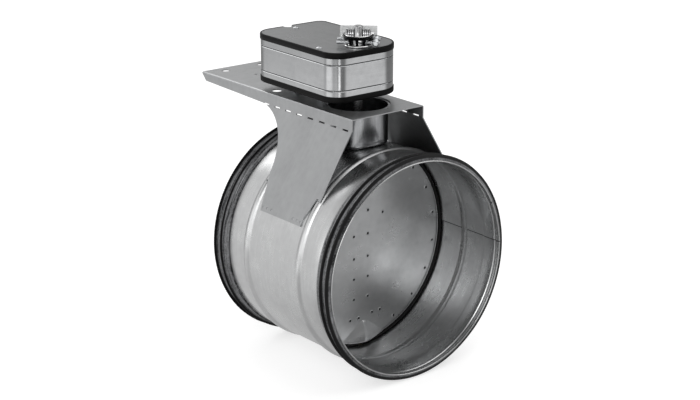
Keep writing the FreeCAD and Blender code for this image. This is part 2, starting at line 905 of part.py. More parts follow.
def tooth_points(teeth, module, centre_angle):
    """Outline of one tooth, from its root on one side to its root on the other."""
    slope = math.radians(pressure_angle)
    pitch_r = module * teeth / 2
    base_r = pitch_r * math.cos(slope)
    tip_r = pitch_r + addendum_factor * module
    root_r = pitch_r - dedendum_factor * module
    half_tooth = (math.pi * module / 2 - backlash) / (2 * pitch_r) + involute(slope)
    flank = []
    for r in (root_r, (max(root_r, base_r) + pitch_r) / 2, pitch_r, (pitch_r + tip_r) / 2, tip_r):
        lean = involute(math.acos(min(1.0, base_r / r)))
        flank.append((r, half_tooth - lean))
    left = [(r, centre_angle - a) for r, a in flank]
    right = [(r, centre_angle + a) for r, a in reversed(flank)]
    return [(r * math.cos(a), r * math.sin(a)) for r, a in left + right]


def gear(teeth, module, low, high, axis, first_angle):
    """Spur gear with a tooth centred on first_angle, about an axis in plan."""
    step = 2 * math.pi / teeth
    points = []
    for k in range(teeth):
        points += tooth_points(teeth, module, first_angle + k * step)
    return prism([(axis[0] + x, axis[1] + y) for x, y in points], low, high)


def facing_gap(bearing, teeth):
    """Angle of a tooth that leaves a gap facing the given bearing."""
    return bearing + math.pi / teeth


def sector_gear():
    """Toothed quadrant on the output hub that the train swings through a right angle."""
    low = act_bottom + sector_level
    high = low + sector_width
    step = 360.0 / sector_teeth
    toward = 90.0
    before = int((toward - sector_from) // step)
    after = int((sector_to - toward) // step)
    points = [(0.0, 0.0)]
    for k in range(-before, after + 1):
        points += tooth_points(sector_teeth, sector_module, math.radians(toward + k * step))
    quadrant = prism(points, low, high)
    hub = cylinder(sector_hub_r, low, high)
    return quadrant.fuse(hub).removeSplitter().cut(cylinder(hub_r, low, high))


def output_hub():
    """Hollow hub through the actuator, keyed to the spindle by the clamp."""
    return cylinder(hub_r, act_bottom, ring_foot).cut(
        cylinder(spindle_r + running, act_bottom, ring_foot))


def compound_gear(axis, small, large, small_angle, large_angle):
    """Pinion below and wheel above on one sleeve; each is (teeth, module, low, high)."""
    pinion = gear(*small, axis, small_angle)
    wheel = gear(*large, axis, large_angle)
    sleeve_r = small[1] * (small[0] / 2 - dedendum_factor)
    sleeve = cylinder(sleeve_r, small[2], large[3], *axis)
    bore = cylinder(axle_r + running, small[2], large[3], *axis)
    return pinion.fuse([wheel, sleeve]).removeSplitter().cut(bore)


def second_gear():
    """Compound gear that drives the sector."""
    level = act_bottom + sector_level
    pinion = (pinion_teeth, sector_module, level - gear_play, level + sector_width + gear_play)
    wheel_low = act_bottom + second_level
    wheel = (second_teeth, second_module, wheel_low, wheel_low + second_width)
    toward_sector = facing_gap(math.radians(270), pinion_teeth)
    return compound_gear(second_axis, pinion, wheel, toward_sector, first_bearing)


def first_gear():
    """Compound gear between the motor pinion and the second gear."""
    level = act_bottom + second_level
    pinion = (pinion_teeth, second_module, level - gear_play, level + second_width + gear_play)
    wheel_low = act_bottom + first_level
    wheel = (first_teeth, first_module, wheel_low, wheel_low + first_width)
    toward_second = facing_gap(first_bearing + math.pi, pinion_teeth)
    return compound_gear(first_axis, pinion, wheel, toward_second, motor_bearing)


def motor_pinion():
    """Pinion and shaft of the motor, hanging through the gear plate."""
    level = act_bottom + first_level
    high = level + first_width + gear_play
    angle = facing_gap(motor_bearing + math.pi, pinion_teeth)
    toothed = gear(pinion_teeth, first_module, level - gear_play, high, motor_axis, angle)
    shaft = cylinder(motor_shaft_r, high, gear_plate_top + motor_shaft_engaged, *motor_axis)
    return toothed.fuse(shaft).removeSplitter()


def motor():
    """Round motor can standing on the gear plate, bored for its shaft."""
    can = cylinder(motor_r, gear_plate_top, gear_plate_top + motor_height, *motor_axis)
    top = gear_plate_top + motor_shaft_engaged + end_float
    return can.cut(cylinder(motor_shaft_r + running, gear_plate_top, top, *motor_axis))


def gear_axles():
    """Two fixed axles between the housing's floor and the gear plate."""
    low = housing_floor - floor_sheet / 2
    return [cylinder(axle_r, low, gear_plate_top, x, y) for x, y in (second_axis, first_axis)]


def return_spring():
    """Flat spiral spring round the hub that closes the blade when the power fails."""
    low = act_bottom + spring_level
    steps = spring_steps * spring_turns
    inner = []
    outer = []
    for i in range(steps + 1):
        angle = math.pi - 2 * math.pi * spring_turns * (1 - i / steps)
        r = spring_inner_r + (spring_outer_r - spring_inner_r) * i / steps
        inner.append((r * math.cos(angle), r * math.sin(angle)))
        outer.append(((r + spring_strip) * math.cos(angle), (r + spring_strip) * math.sin(angle)))
    return prism(inner + outer[::-1], low, low + spring_height)


def circuit_board():
    """Control board lying on four stands in the rear of the housing."""
    low = act_bottom + board_level
    board = box((-board_half_width, board_front, low), (board_half_width, board_rear, low + board_sheet))
    return board.cut(cylinder(boss_r + gear_play, low, low + board_sheet, 0, support_y[1]))


def clamp_turned(shape):
    turned = shape.copy()
    turned.rotate(origin, z_axis, clamp_turn)
    return turned


def clamp_ring():
    """Bright ring under the clamp, just clear of the cover."""
    ring = cylinder(ring_r, ring_foot, crown_foot)
    return ring.cut(cylinder(spindle_r + running, ring_foot, crown_foot))


def clamp_crown():
    """Flared crown with a ring of slots round a solid core."""
    top = clamp_plate_foot
    profile = ring_profile([
        (spindle_r + running, crown_foot),
        (crown_foot_r, crown_foot),
        (crown_top_r, top),
        (crown_top_r - crown_wall, top),
        (crown_foot_r - crown_wall, crown_foot + crown_wall),
        (crown_core_r, crown_foot + crown_wall),
        (crown_core_r, top),
        (spindle_r + running, top),
    ])
    crown = turned_about_z(profile)
    slots = []
    half = crown_slot_width / 2
    for k in range(crown_slots):
        slot = box((crown_core_r, -half, crown_foot + crown_wall),
                   (crown_top_r + crown_wall, half, top - crown_wall / 2))
        slot.rotate(origin, z_axis, 360.0 * (k + 0.5) / crown_slots)
        slots.append(slot)
    bolt_z = crown_foot + clamp_bolt_rise
    for side in (-1, 1):
        slots.append(clamp_bolt_bar(side * clamp_bolt_offset, bolt_z, clamp_bolt_r))
    return crown.cut(slots)


def clamp_bolt_bar(y, z, r):
    start = FreeCAD.Vector(clamp_bolt_left, y, z)
    return Part.makeCylinder(r, clamp_bolt_right - clamp_bolt_left, start, x_axis)


def clamp_plate():
    """Bright round plate pressed on the crown."""
    disc = cylinder(clamp_plate_r, clamp_plate_foot, jaw_foot)
    return disc.cut(cylinder(spindle_r + running, clamp_plate_foot, jaw_foot))


def clamp_jaws():
    """Two serrated blocks whose V notches grip the spindle from both sides."""
    top = jaw_foot + jaw_height
    notch_x = spindle_r * math.sqrt(2)
    points = [
        (jaw_gap, jaw_half_width),
        (jaw_reach, jaw_half_width),
        (jaw_reach, -jaw_half_width),
        (jaw_gap, -jaw_half_width),
        (jaw_gap, jaw_gap - notch_x),
        (notch_x, 0.0),
        (jaw_gap, notch_x - jaw_gap),
    ]
    count = int((jaw_reach - notch_x) // serration_pitch)
    grooves = [serration(notch_x + (k + 0.5) * serration_pitch, top) for k in range(count)]
    right = prism(points, jaw_foot, top).cut(grooves)
    return [right, right.mirror(origin, x_axis)]


def serration(x, top):
    """V groove across the top of a jaw."""
    half = serration_pitch / 2
    corners = [
        FreeCAD.Vector(x - half, -jaw_half_width, top),
        FreeCAD.Vector(x, -jaw_half_width, top - serration_depth),
        FreeCAD.Vector(x + half, -jaw_half_width, top),
    ]
    face = Part.Face(Part.makePolygon(corners + corners[:1]))
    return face.extrude(FreeCAD.Vector(0, 2 * jaw_half_width, 0))


def clamp_bolts():
    """Two cross bolts through the crown, one each side of the spindle."""
    z = crown_foot + clamp_bolt_rise
    return [clamp_bolt_bar(side * clamp_bolt_offset, z, clamp_bolt_r) for side in (-1, 1)]


def clamp_nuts():
    """Hexagon nuts on the right ends of the cross bolts."""
    z = crown_foot + clamp_bolt_rise
    nuts = []
    for side in (-1, 1):
        nut = hexagon(clamp_nut_flats, 0, clamp_nut_height).cut(cylinder(clamp_bolt_r, 0, clamp_nut_height))
        nut.rotate(origin, y_axis, 90)
        nut.translate(FreeCAD.Vector(clamp_nut_seat, side * clamp_bolt_offset, z))
        nuts.append(nut)
    return nuts


def position_indicator():
    """Clear plate behind the spindle, its two legs straddling the crown."""
    near = indicator_offset
    far = indicator_offset + indicator_sheet
    half = indicator_half_width
    foot = jaw_foot - indicator_leg_drop
    heel = jaw_foot - indicator_heel_drop
    throat = math.sqrt(crown_top_r ** 2 - near ** 2) + indicator_leg_play
    plate = box((-half, near, foot), (half, far, jaw_foot + indicator_top))
    return plate.cut([
        box((-throat, near, foot), (throat, far, jaw_foot)),
        box((throat, near, foot), (half, far, heel)),
    ])


duct_seal = lip_seal()
save("casing", casing())
save("front_lip_seal", duct_seal)
save("rear_lip_seal", mirrored_y(duct_seal))
save("bracket", bracket())
save("spindle_cup", spindle_cup())
save("upper_bush", upper_bush())
save("upper_saddle", saddle(cup_floor))
save("upper_bush_nut", upper_bush_nut())
save("lower_bush", lower_bush())
save("lower_saddle", saddle(cup_floor).mirror(origin, z_axis))
save("lower_bush_nut", lower_bush_nut())
save("blade_front_disc", front_disc())
save("blade_rear_disc", mirrored_y(front_disc()))
save("blade_gasket", blade_gasket())
save("blade_rails", *blade_rails())
save("drive_spindle", drive_spindle())
save("pivot_pin", pivot_pin())

save("actuator_housing", skewed(housing()))
save("lower_band", skewed(lower_band()))
save("upper_band", skewed(upper_band()))
save("top_cover", skewed(top_cover()))
save("cover_screws", *[skewed(s) for s in cover_screws()])
save("gear_plate", skewed(gear_plate()))
save("support_sleeves", *[skewed(s) for s in support_sleeves()])
save("support_bolts", *[skewed(s) for s in support_bolts()])
save("cable_gland", skewed(cable_gland()))
save("output_hub", skewed(output_hub()))
save("sector_gear", skewed(sector_gear()))
save("second_gear", skewed(second_gear()))
save("first_gear", skewed(first_gear()))
save("gear_axles", *[skewed(s) for s in gear_axles()])
save("motor", skewed(motor()))
save("motor_pinion", skewed(motor_pinion()))
save("return_spring", skewed(return_spring()))
save("circuit_board", skewed(circuit_board()))

save("clamp_ring", clamp_turned(clamp_ring()))
save("clamp_crown", clamp_turned(clamp_crown()))
save("clamp_plate", clamp_turned(clamp_plate()))
save("clamp_jaws", *[clamp_turned(s) for s in clamp_jaws()])
save("clamp_bolts", *[clamp_turned(s) for s in clamp_bolts()])
save("clamp_nuts", *[clamp_turned(s) for s in clamp_nuts()])
save("position_indicator", clamp_turned(position_indicator()))
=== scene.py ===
from math import acos, asin, atan2, copysign, cos, hypot, pi, radians, sin, sqrt

import bpy
from mathutils import Matrix, Vector, noise


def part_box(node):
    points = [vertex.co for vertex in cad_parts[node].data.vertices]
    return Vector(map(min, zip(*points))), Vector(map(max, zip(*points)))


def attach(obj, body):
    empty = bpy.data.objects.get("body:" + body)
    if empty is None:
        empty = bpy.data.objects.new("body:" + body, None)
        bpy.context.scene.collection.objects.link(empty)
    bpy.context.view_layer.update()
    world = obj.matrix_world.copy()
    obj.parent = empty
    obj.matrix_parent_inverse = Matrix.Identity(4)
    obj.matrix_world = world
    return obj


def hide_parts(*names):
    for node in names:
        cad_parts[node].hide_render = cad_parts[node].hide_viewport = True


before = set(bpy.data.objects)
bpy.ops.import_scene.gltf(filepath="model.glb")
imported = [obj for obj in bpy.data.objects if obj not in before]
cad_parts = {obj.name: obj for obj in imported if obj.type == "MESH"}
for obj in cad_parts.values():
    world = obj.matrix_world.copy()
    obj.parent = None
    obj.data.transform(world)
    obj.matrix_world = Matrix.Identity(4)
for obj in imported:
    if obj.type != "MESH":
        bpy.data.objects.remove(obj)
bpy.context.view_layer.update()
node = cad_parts

# Casing: a tube rolled from 0.8 mm hot-dip galvanised sheet, its long edges lapped and welded.
# Each rim is folded inwards into a hem, and a stop bead and a shallow seal seat are rolled in
# behind it. It carries everything else.
mm = 0.001
sheet = 0.8 * mm
half_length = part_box("casing")[1].y
spigot_r = 124.5 * mm
stop_bead = {"from_rim": 60 * mm, "width": 11 * mm, "height": 2.5 * mm}
seal_seat = {"from_rim": 7.0 * mm, "width": 19.5 * mm, "depth": 0.8 * mm}
hem_width = 4.5 * mm
seam_angle = radians(3)
seam_step = 0.8 * mm
seam_run = 24 * mm
seam_groove = {"width": 1.5 * mm, "depth": 0.25 * mm}
hem_joints = [radians(-28.5), radians(27.0)]
hem_joint_half = 1.3 * mm


def linear(hex_colour):
    """Turn an sRGB hex colour into the linear RGBA that Blender's sockets take."""
    parts = [int(hex_colour[i:i + 2], 16) / 255 for i in (1, 3, 5)]
    parts = [p / 12.92 if p <= 0.04045 else ((p + 0.055) / 1.055) ** 2.4 for p in parts]
    return (*parts, 1.0)


def fill(tree, made, inputs):
    """Give a node's inputs their values, or link them to a socket or a node's first output."""
    for name, value in inputs.items():
        if isinstance(value, bpy.types.Node):
            value = value.outputs[0]
        if isinstance(value, bpy.types.NodeSocket):
            tree.links.new(value, made.inputs[name])
        else:
            made.inputs[name].default_value = value


def add(tree, kind, settings, inputs):
    """Add a node, set its properties and ramp stops, and fill its inputs."""
    made = tree.nodes.new(kind)
    stops = settings.pop("stops", [])
    for name, value in settings.items():
        setattr(made, name, value)
    for i, (place, colour) in enumerate(stops):
        ramp = made.color_ramp.elements
        stop = ramp[i] if i < 2 else ramp.new(place)
        stop.position = place
        stop.color = linear(colour)
    fill(tree, made, inputs)
    return made


def new_material(name):
    """A material with its tree, its surface shader and the coordinates its patterns lie in."""
    material = bpy.data.materials.new(name)
    material.use_nodes = True
    tree = material.node_tree
    place = add(tree, "ShaderNodeTexCoord", {}, {}).outputs["Object"]
    return material, tree, tree.nodes["Principled BSDF"], place


def galvanised_sheet(name, dark, light, roughness, grain_scale, lines_share, sway_height):
    """Hot-dip galvanised steel sheet, skin-passed, so that its spangle is only a soft mottle.

    It gives a grey satin with broad soft highlights, faint rolling lines that run the way
    grain_scale is smallest, and an uneven face that bends long reflections.
    Returns the material, its tree, its shader and the node that bumps it.
    """
    material, tree, shader, place = new_material(name)
    spangle = add(tree, "ShaderNodeTexVoronoi", {"feature": "SMOOTH_F1"},
                  {"Vector": place, "Scale": 1 / (7 * mm), "Smoothness": 0.8})
    mottle = add(tree, "ShaderNodeTexNoise", {},
                 {"Vector": place, "Scale": 1 / (34 * mm), "Detail": 5.0})
    across = add(tree, "ShaderNodeMapping", {}, {"Vector": place, "Scale": grain_scale})
    lines = add(tree, "ShaderNodeTexNoise", {},
                {"Vector": across, "Scale": 1.0, "Detail": 4.0, "Roughness": 0.6})
    speckle = add(tree, "ShaderNodeTexNoise", {},
                  {"Vector": place, "Scale": 1 / (1.6 * mm), "Detail": 3.0})
    cells = add(tree, "ShaderNodeMath", {"operation": "MULTIPLY"}, {0: spangle, 1: 0.25})
    grit = add(tree, "ShaderNodeMath", {"operation": "MULTIPLY_ADD"}, {0: speckle, 1: 0.15, 2: cells})
    cloud = add(tree, "ShaderNodeMath", {"operation": "MULTIPLY_ADD"}, {0: mottle, 1: 0.7, 2: grit})
    tone = add(tree, "ShaderNodeMix", {}, {"Factor": lines_share, "A": cloud, "B": lines})
    colour = add(tree, "ShaderNodeValToRGB", {"stops": [(0.32, dark), (0.68, light)]}, {0: tone})
    satin = add(tree, "ShaderNodeMapRange", {},
                {"Value": tone, "From Min": 0.3, "From Max": 0.7, "To Min": roughness + 0.04,
                 "To Max": roughness - 0.04})
    sway = add(tree, "ShaderNodeTexNoise", {}, {"Vector": place, "Scale": 1 / (60 * mm), "Detail": 1.0})
    fine = add(tree, "ShaderNodeBump", {}, {"Strength": 0.05, "Distance": 0.05 * mm, "Height": tone})
    broad = add(tree, "ShaderNodeBump", {},
                {"Strength": 0.5, "Distance": sway_height, "Height": sway, "Normal": fine})
    fill(tree, shader, {"Metallic": 1.0, "Base Color": colour, "Roughness": satin, "Normal": broad})
    return material, tree, shader, broad


def new_object(name, content):
    """An object in the scene that holds a mesh, a lamp or a camera."""
    made = bpy.data.objects.new(name, content)
    bpy.context.scene.collection.objects.link(made)
    return made


def make_piece(name, points, faces, material, body, angle=None):
    """A mesh object from points and faces, dressed and riding on a body.

    It is shaded smooth, but for edges where faces meet at more than an angle in degrees.
    """
    mesh = bpy.data.meshes.new(name)
    mesh.from_pydata(points, [], faces)
    mesh.validate()
    mesh.materials.append(material)
    for face in mesh.polygons:
        face.use_smooth = angle != 0
    if angle:
        mesh.set_sharp_from_angle(angle=radians(angle))
    made = new_object(name, mesh)
    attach(made, body)
    return made


def bands(rows, count, start=0, wrap=False):
    """Quads between neighbouring rows of points, where each row is a closed ring of a count."""
    faces = []
    for k in range(rows if wrap else rows - 1):
        low, high = start + k * count, start + (k + 1) % rows * count
        for i in range(count):
            j = (i + 1) % count
            faces.append((low + i, low + j, high + j, high + i))
    return faces


def even_turns(steps):
    """Angles of even steps round a circle."""
    return [2 * pi * i / steps for i in range(steps)]


def circle(steps):
    """Cosine and sine of each step round a circle."""
    return [(cos(t), sin(t)) for t in even_turns(steps)]


def part_dress(piece, material, flags):
    """Gives the flagged faces of a piece a second material."""
    piece.data.materials.append(material)
    for face, flag in zip(piece.data.polygons, flags):
        face.material_index = int(flag)


def turned(profile, angles, shift=None):
    """Points and faces of a closed profile of (along Y, radius) turned about the Y axis."""
    points = []
    for angle in angles:
        for along, radius in profile:
            if shift:
                along, radius = shift(along, radius, angle)
            points.append((radius * cos(angle), along, radius * sin(angle)))
    return points, bands(len(angles), len(profile), wrap=True)


def eased(t):
    """Rises from 0 to 1 with a level start and end."""
    t = min(max(t, 0.0), 1.0)
    return t * t * (3 - 2 * t)


def wall_offset(from_rim):
    """How far the bead and the seat each move the wall, at a distance from its rim."""
    across = abs(from_rim - stop_bead["from_rim"]) / (stop_bead["width"] / 2)
    rise = stop_bead["height"] * cos(pi / 2 * min(across, 1.0)) ** 1.15
    slope = 1.4 * mm
    into = eased((from_rim - seal_seat["from_rim"]) / slope)
    out_of = eased((from_rim - seal_seat["from_rim"] - seal_seat["width"] + slope) / slope)
    return rise, -seal_seat["depth"] * (into - out_of)


def half_wall(radius, start, bead_share=1.0):
    """Stations of the wall line at a radius, from a start near the rim to the middle."""
    stations = [start, 6.6 * mm]
    stations += [seal_seat["from_rim"] + i * 0.35 * mm for i in range(5)]
    stations += [seal_seat["from_rim"] + seal_seat["width"] - i * 0.35 * mm for i in range(4, -1, -1)]
    stations += [40 * mm]
    first = stop_bead["from_rim"] - stop_bead["width"] / 2
    stations += [first - 0.4 * mm]
    stations += [first + i * stop_bead["width"] / 20 for i in range(21)]
    stations += [first + stop_bead["width"] + 0.4 * mm, 80 * mm, 94 * mm]
    return [(s, radius + bead_share * wall_offset(s)[0] + wall_offset(s)[1]) for s in stations]


inner_r = spigot_r - sheet
hem_flap = [(4.5 * mm, -0.02 * mm), (4.6 * mm, -0.7 * mm), (4.4 * mm, -1.4 * mm),
            (4.0 * mm, -1.55 * mm), (3.4 * mm, -1.4 * mm), (2.5 * mm, -0.95 * mm),
            (1.7 * mm, -0.75 * mm)]
rim_round = [(sheet * (1 - cos(t)), inner_r + sheet * sin(t))
             for t in [radians(a) for a in range(-90, 91, 20)]]
outer_half = [(s, inner_r + drop) for s, drop in hem_flap] + rim_round
outer_half += half_wall(spigot_r, 2 * mm) + [(half_length, spigot_r)]
inner_half = half_wall(inner_r, hem_width + 0.2 * mm, 0.6)[::-1]
to_front = [(s - half_length, r) for s, r in outer_half]
to_rear = [(half_length - s, r) for s, r in outer_half[::-1]][1:]
back_inside = [(half_length - s, r) for s, r in inner_half[::-1]]
front_inside = [(s - half_length, r) for s, r in inner_half]
casing_profile = to_front + to_rear + back_inside + [(0.0, inner_r)] + front_inside
casing_turns = even_turns(240)
for offset in (-seam_groove["width"] - 0.05 * mm, -seam_groove["width"], -0.05 * mm):
    casing_turns.append(seam_angle + offset / inner_r)
for joint in hem_joints:
    for offset in (-hem_joint_half, -0.8 * hem_joint_half, 0.8 * hem_joint_half, hem_joint_half):
        casing_turns.append(joint % (2 * pi) + offset / inner_r)
casing_turns.sort()


def bead_gap(from_rim):
    """Level that parts the wall's inner face from its outer one at a distance from a rim."""
    rise, seat = wall_offset(from_rim)
    return 0.8 * rise + seat - sheet / 2


def lapped(along, radius, angle):
    """Shapes the lap, with a gap beside the edge of the inner sheet, and the joints in the hems."""
    past = (angle - seam_angle) * inner_r
    in_wall = abs(along) < half_length - hem_width - 0.1 * mm
    if in_wall and radius < spigot_r + bead_gap(half_length - abs(along)):
        if -seam_groove["width"] - 0.01 * mm < past < -0.02 * mm:
            radius += seam_groove["depth"]
        elif -0.01 * mm < past < seam_run:
            radius -= seam_step * (1 - past / seam_run)
    for joint in hem_joints:
        turn = (angle - joint + pi) % (2 * pi) - pi
        if abs(turn) * inner_r < 0.9 * hem_joint_half and not in_wall:
            radius = max(radius, inner_r - 0.03 * mm)
    return along, radius


# Painted shadow fills the narrow gap beside the lap, so that it reads as a dark line. The clinches'
# pits get the same painted shadow.
pit_shadow, tree, shader, place = new_material("painted_gap_shadow")
shadow_mottle = add(tree, "ShaderNodeTexNoise", {}, {"Vector": place, "Scale": 1 / (0.8 * mm), "Detail": 3.0})
shadow_tone = add(tree, "ShaderNodeValToRGB", {"stops": [(0.3, "#161617"), (0.8, "#343536")]}, {0: shadow_mottle})
fill(tree, shader, {"Base Color": shadow_tone, "Roughness": 0.7})

# The casing's skin-passed zinc is pale, with soft highlights and rolling lines that run round it.
casing_zinc = galvanised_sheet("galvanised_casing_sheet", "#b4b4b5", "#c6c7c7", 0.29, (26, 420, 26),
                               0.35, 0.3 * mm)[0]
points, faces = turned(casing_profile, casing_turns, lapped)
casing_tube = make_piece("casing_tube", points, faces, casing_zinc, "frame", 30)
# The faces in the groove beside the lap are given the painted shadow.
in_gap = []
for face in casing_tube.data.polygons:
    past = (atan2(face.center.z, face.center.x) - seam_angle) * inner_r
    inside = hypot(face.center.x, face.center.z) < spigot_r - 0.3 * mm
    in_gap.append(inside and -seam_groove["width"] < past < -0.05 * mm)
part_dress(casing_tube, pit_shadow, in_gap)
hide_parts("casing")

# Lip seals: extruded EPDM rubber, wound on and seated in the rolled grooves. Each has a flat
# band and two thin lips that bend back as a duct is pushed over them. Talc and handling
# leave pale streaks round the band.
band_rise = 1.6 * mm
lips = [{"from_rim": 2.2 * mm, "height": 6.5 * mm}, {"from_rim": 13.2 * mm, "height": 5.6 * mm}]
lip_foot = 2.4 * mm
lip_tip = 0.8 * mm
seal_from = 2.2 * mm
seal_end = seal_seat["from_rim"] + seal_seat["width"] - 1.0 * mm


def epdm_rubber(name, dark, pale, along, wear=(0.5, 0.8), sheen=0.25):
    """Extruded EPDM: matt black, greyed in streaks that run the way it was drawn.

    Returns the material, its tree, its shader and the node that colours it.
    """
    material, tree, shader, place = new_material(name)
    drawn = add(tree, "ShaderNodeMapping", {}, {"Vector": place, "Scale": along})
    streaks = add(tree, "ShaderNodeTexNoise", {},
                  {"Vector": drawn, "Scale": 1.0, "Detail": 6.0, "Roughness": 0.7})
    dust = add(tree, "ShaderNodeTexNoise", {},
               {"Vector": place, "Scale": 1 / (2.2 * mm), "Detail": 4.0})
    mixed = add(tree, "ShaderNodeMath", {"operation": "MULTIPLY_ADD"}, {0: dust, 1: 0.3, 2: streaks})
    shifted = add(tree, "ShaderNodeMath", {"operation": "SUBTRACT"}, {0: mixed, 1: 0.15})
    colour = add(tree, "ShaderNodeValToRGB", {"stops": [(wear[0], dark), (wear[1], pale)]},
                 {0: shifted})
    bump = add(tree, "ShaderNodeBump", {}, {"Strength": 0.4, "Distance": 0.2 * mm, "Height": mixed})
    fill(tree, shader, {"Roughness": 0.5, "Specular IOR Level": sheen, "Base Color": colour,
                        "Normal": bump})
    return material, tree, shader, colour


def lip_line(from_rim, height):
    """A thin fin on a filleted foot, leaning away from the rim, with a round tip."""
    base = spigot_r + band_rise
    rise = height - band_rise
    lean = 1.3 * mm
    near = [(from_rim + lean * h * h, base + h * rise) for h in (0.0, 0.3, 0.6, 0.85)]
    tip = [(from_rim + lean, base + rise - 0.15 * mm),
           (from_rim + lean + lip_tip / 2, base + rise),
           (from_rim + lean + lip_tip, base + rise - 0.15 * mm)]
    far = [(from_rim + lip_tip + lean * h * h + (lip_foot - lip_tip) * (1 - h) ** 2, base + h * rise)
           for h in (0.85, 0.6, 0.3, 0.12, 0.0)]
    return near + tip + far


def wavy(along, radius, angle):
    """Rubber never lies dead true: the lips waver by a few tenths of a millimetre."""
    reach = max(0.0, radius - spigot_r - band_rise) / (5 * mm)
    spot = Vector((2.2 * cos(angle), 2.2 * sin(angle), along * 40))
    droop = 0.3 * mm * reach * abs(noise.noise(spot * 1.7))
    return along + 0.6 * mm * reach * noise.noise(spot), radius - droop


seal_line = [(seal_from, spigot_r + 0.02 * mm)]
for each in lips:
    seal_line += lip_line(each["from_rim"], each["height"])
seal_line += [(seal_end - 1.2 * mm, spigot_r + band_rise), (seal_end - 0.3 * mm, spigot_r + 0.8 * mm),
              (seal_end, spigot_r + 0.02 * mm)]

# The band between the lips is the dusty part. The lips are wiped clean, and stay black.
seal_rubber, tree, shader, streaked = epdm_rubber("streaked_epdm", "#18181a", "#adaeb0", (16, 420, 16),
                                                  (0.38, 0.76))
place = add(tree, "ShaderNodeTexCoord", {}, {}).outputs["Object"]
flat = add(tree, "ShaderNodeVectorMath", {"operation": "MULTIPLY"}, {0: place, 1: (1, 0, 1)})
out = add(tree, "ShaderNodeVectorMath", {"operation": "LENGTH"}, {0: flat}).outputs["Value"]
on_lip = add(tree, "ShaderNodeMapRange", {},
             {"Value": out, "From Min": spigot_r + 1.9 * mm, "From Max": spigot_r + 3.2 * mm})
colour_a, colour_b, mixed_colour = 6, 7, 2
clean = add(tree, "ShaderNodeMix", {"data_type": "RGBA"},
            {"Factor": on_lip, colour_a: streaked, colour_b: linear("#0a0a0b")})
fill(tree, shader, {"Base Color": clean.outputs[mixed_colour]})
for side, name in ((-1, "front"), (1, "rear")):
    profile = [(side * (half_length - s), r) for s, r in seal_line]
    points, faces = turned(profile[::side], even_turns(288), wavy)
    seal = make_piece(name + "_seal_rubber", points, faces, seal_rubber, "frame", 50)
    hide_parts(name + "_lip_seal")


# Bracket: one blank of 1.2 mm galvanised sheet, punched and folded. Its slots make the fold
# between flange and leg easy, and the tongues lie on the casing and are clinched to it.
# Its zinc is duller than the casing's, with rolling lines across the duct.


def dress(name, material):
    """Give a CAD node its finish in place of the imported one."""
    node[name].data.materials.clear()
    node[name].data.materials.append(material)


bracket_zinc = galvanised_sheet("galvanised_bracket_sheet", "#9b9c9d", "#a7a8a9", 0.34, (25, 260, 25),
                                0.3, 0.25 * mm)[0]
dress("bracket", bracket_zinc)

# Clinch marks: sheet is joined to sheet by pressing a small button through both, which leaves
# a raised collar round a pit. The pit is painted shade: dark rings and a dark disc over the surface.
# The same mark is used on the tongues, plate and blade.
collar_r = 2.1 * mm
collar_rise = 0.4 * mm
collar = [(1.25, 0.0), (1.08, 0.7), (0.95, 1.0), (0.8, 0.75), (0.66, 0.3), (0.5, 0.12)]
# Rings from this one inwards are painted shade.
shade_from = 3


def clinch_marks(name, spots, metal, body):
    """Collared buttons, each a place, an outward normal, a size and how many rings of painted shade its
    pit has.
    """
    points, faces, dark = [], [], []
    steps = 16
    for place, normal, size, shaded_rings in spots:
        out = Vector(normal).normalized()
        aside = out.orthogonal().normalized()
        along = out.cross(aside)
        first = len(points)
        for share, rise in collar:
            for x, y in circle(steps):
                spot = Vector(place) + (aside * x + along * y) * (share * collar_r * size)
                points.append(spot + out * (rise * collar_rise * size + 0.02 * mm))
        faces += bands(len(collar), steps, first)
        for k in range(len(collar) - 1):
            # The pit's rings, and the centre disc of deep pits, get the painted shadow.
            dark += [shade_from <= k < shade_from + shaded_rings] * steps
        faces.append(tuple(range(len(points) - steps, len(points))))
        dark.append(shaded_rings > 2)
    piece = make_piece(name, points, faces, metal, body)
    part_dress(piece, pit_shadow, dark)


plate_top_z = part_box("bracket")[1].z
plate_half_width = 52.0 * mm
splay_z = plate_top_z - 13.8 * mm
touch_r = spigot_r + 1.2 * mm
splay = atan2(splay_z, plate_half_width)
splay -= acos(touch_r / hypot(plate_half_width, splay_z))
leg_normal = Vector((cos(splay), 0, sin(splay)))
leg_down = Vector((sin(splay), 0, -cos(splay)))

# Each tongue is rolled on to follow the casing a little past the line where the leg meets it.
tongue_lap_from = asin(6.0 * mm / touch_r)
tongue_lap_to = asin(11.5 * mm / touch_r)
tongue_edges = (-38.0 * mm, 36.6 * mm)
tongue_steps = 16
for side, name in ((-1, "left"), (1, "right")):
    points = []
    for k in range(tongue_steps + 1):
        angle = splay - (-tongue_lap_from + (tongue_lap_to + tongue_lap_from) * k / tongue_steps)
        lifted = touch_r + (0.14 * mm + 0.12 * mm * sin(pi * k / tongue_steps))
        narrow = max(0, k + 2 - tongue_steps) * 0.3 * mm
        near, far = tongue_edges[0] + narrow, tongue_edges[1] - narrow
        for y, r in ((near, spigot_r), (near, lifted), (far, lifted), (far, spigot_r)):
            points.append((side * r * cos(angle), y, r * sin(angle)))
    end = 4 * tongue_steps
    faces = bands(tongue_steps + 1, 4) + [(3, 2, 1, 0), (end, end + 1, end + 2, end + 3)]
    lap = make_piece("tongue_lap_" + name, points, faces, bracket_zinc, "frame", 30)
marks = []
for side in (-1, 1):
    angle = splay - asin(6.6 * mm / touch_r)
    r = touch_r + 0.2 * mm
    out = (side * cos(angle), 0, sin(angle))
    for y in (33.2, 26.2, 18.0, -21.5, -29.0, -35.5):
        marks.append(((out[0] * r, y * mm, out[2] * r), out, 0.72, 1))
# Each of these clinches has one ring of painted shade in its pit.
clinch_marks("tongue_clinches", marks, bracket_zinc, "frame")

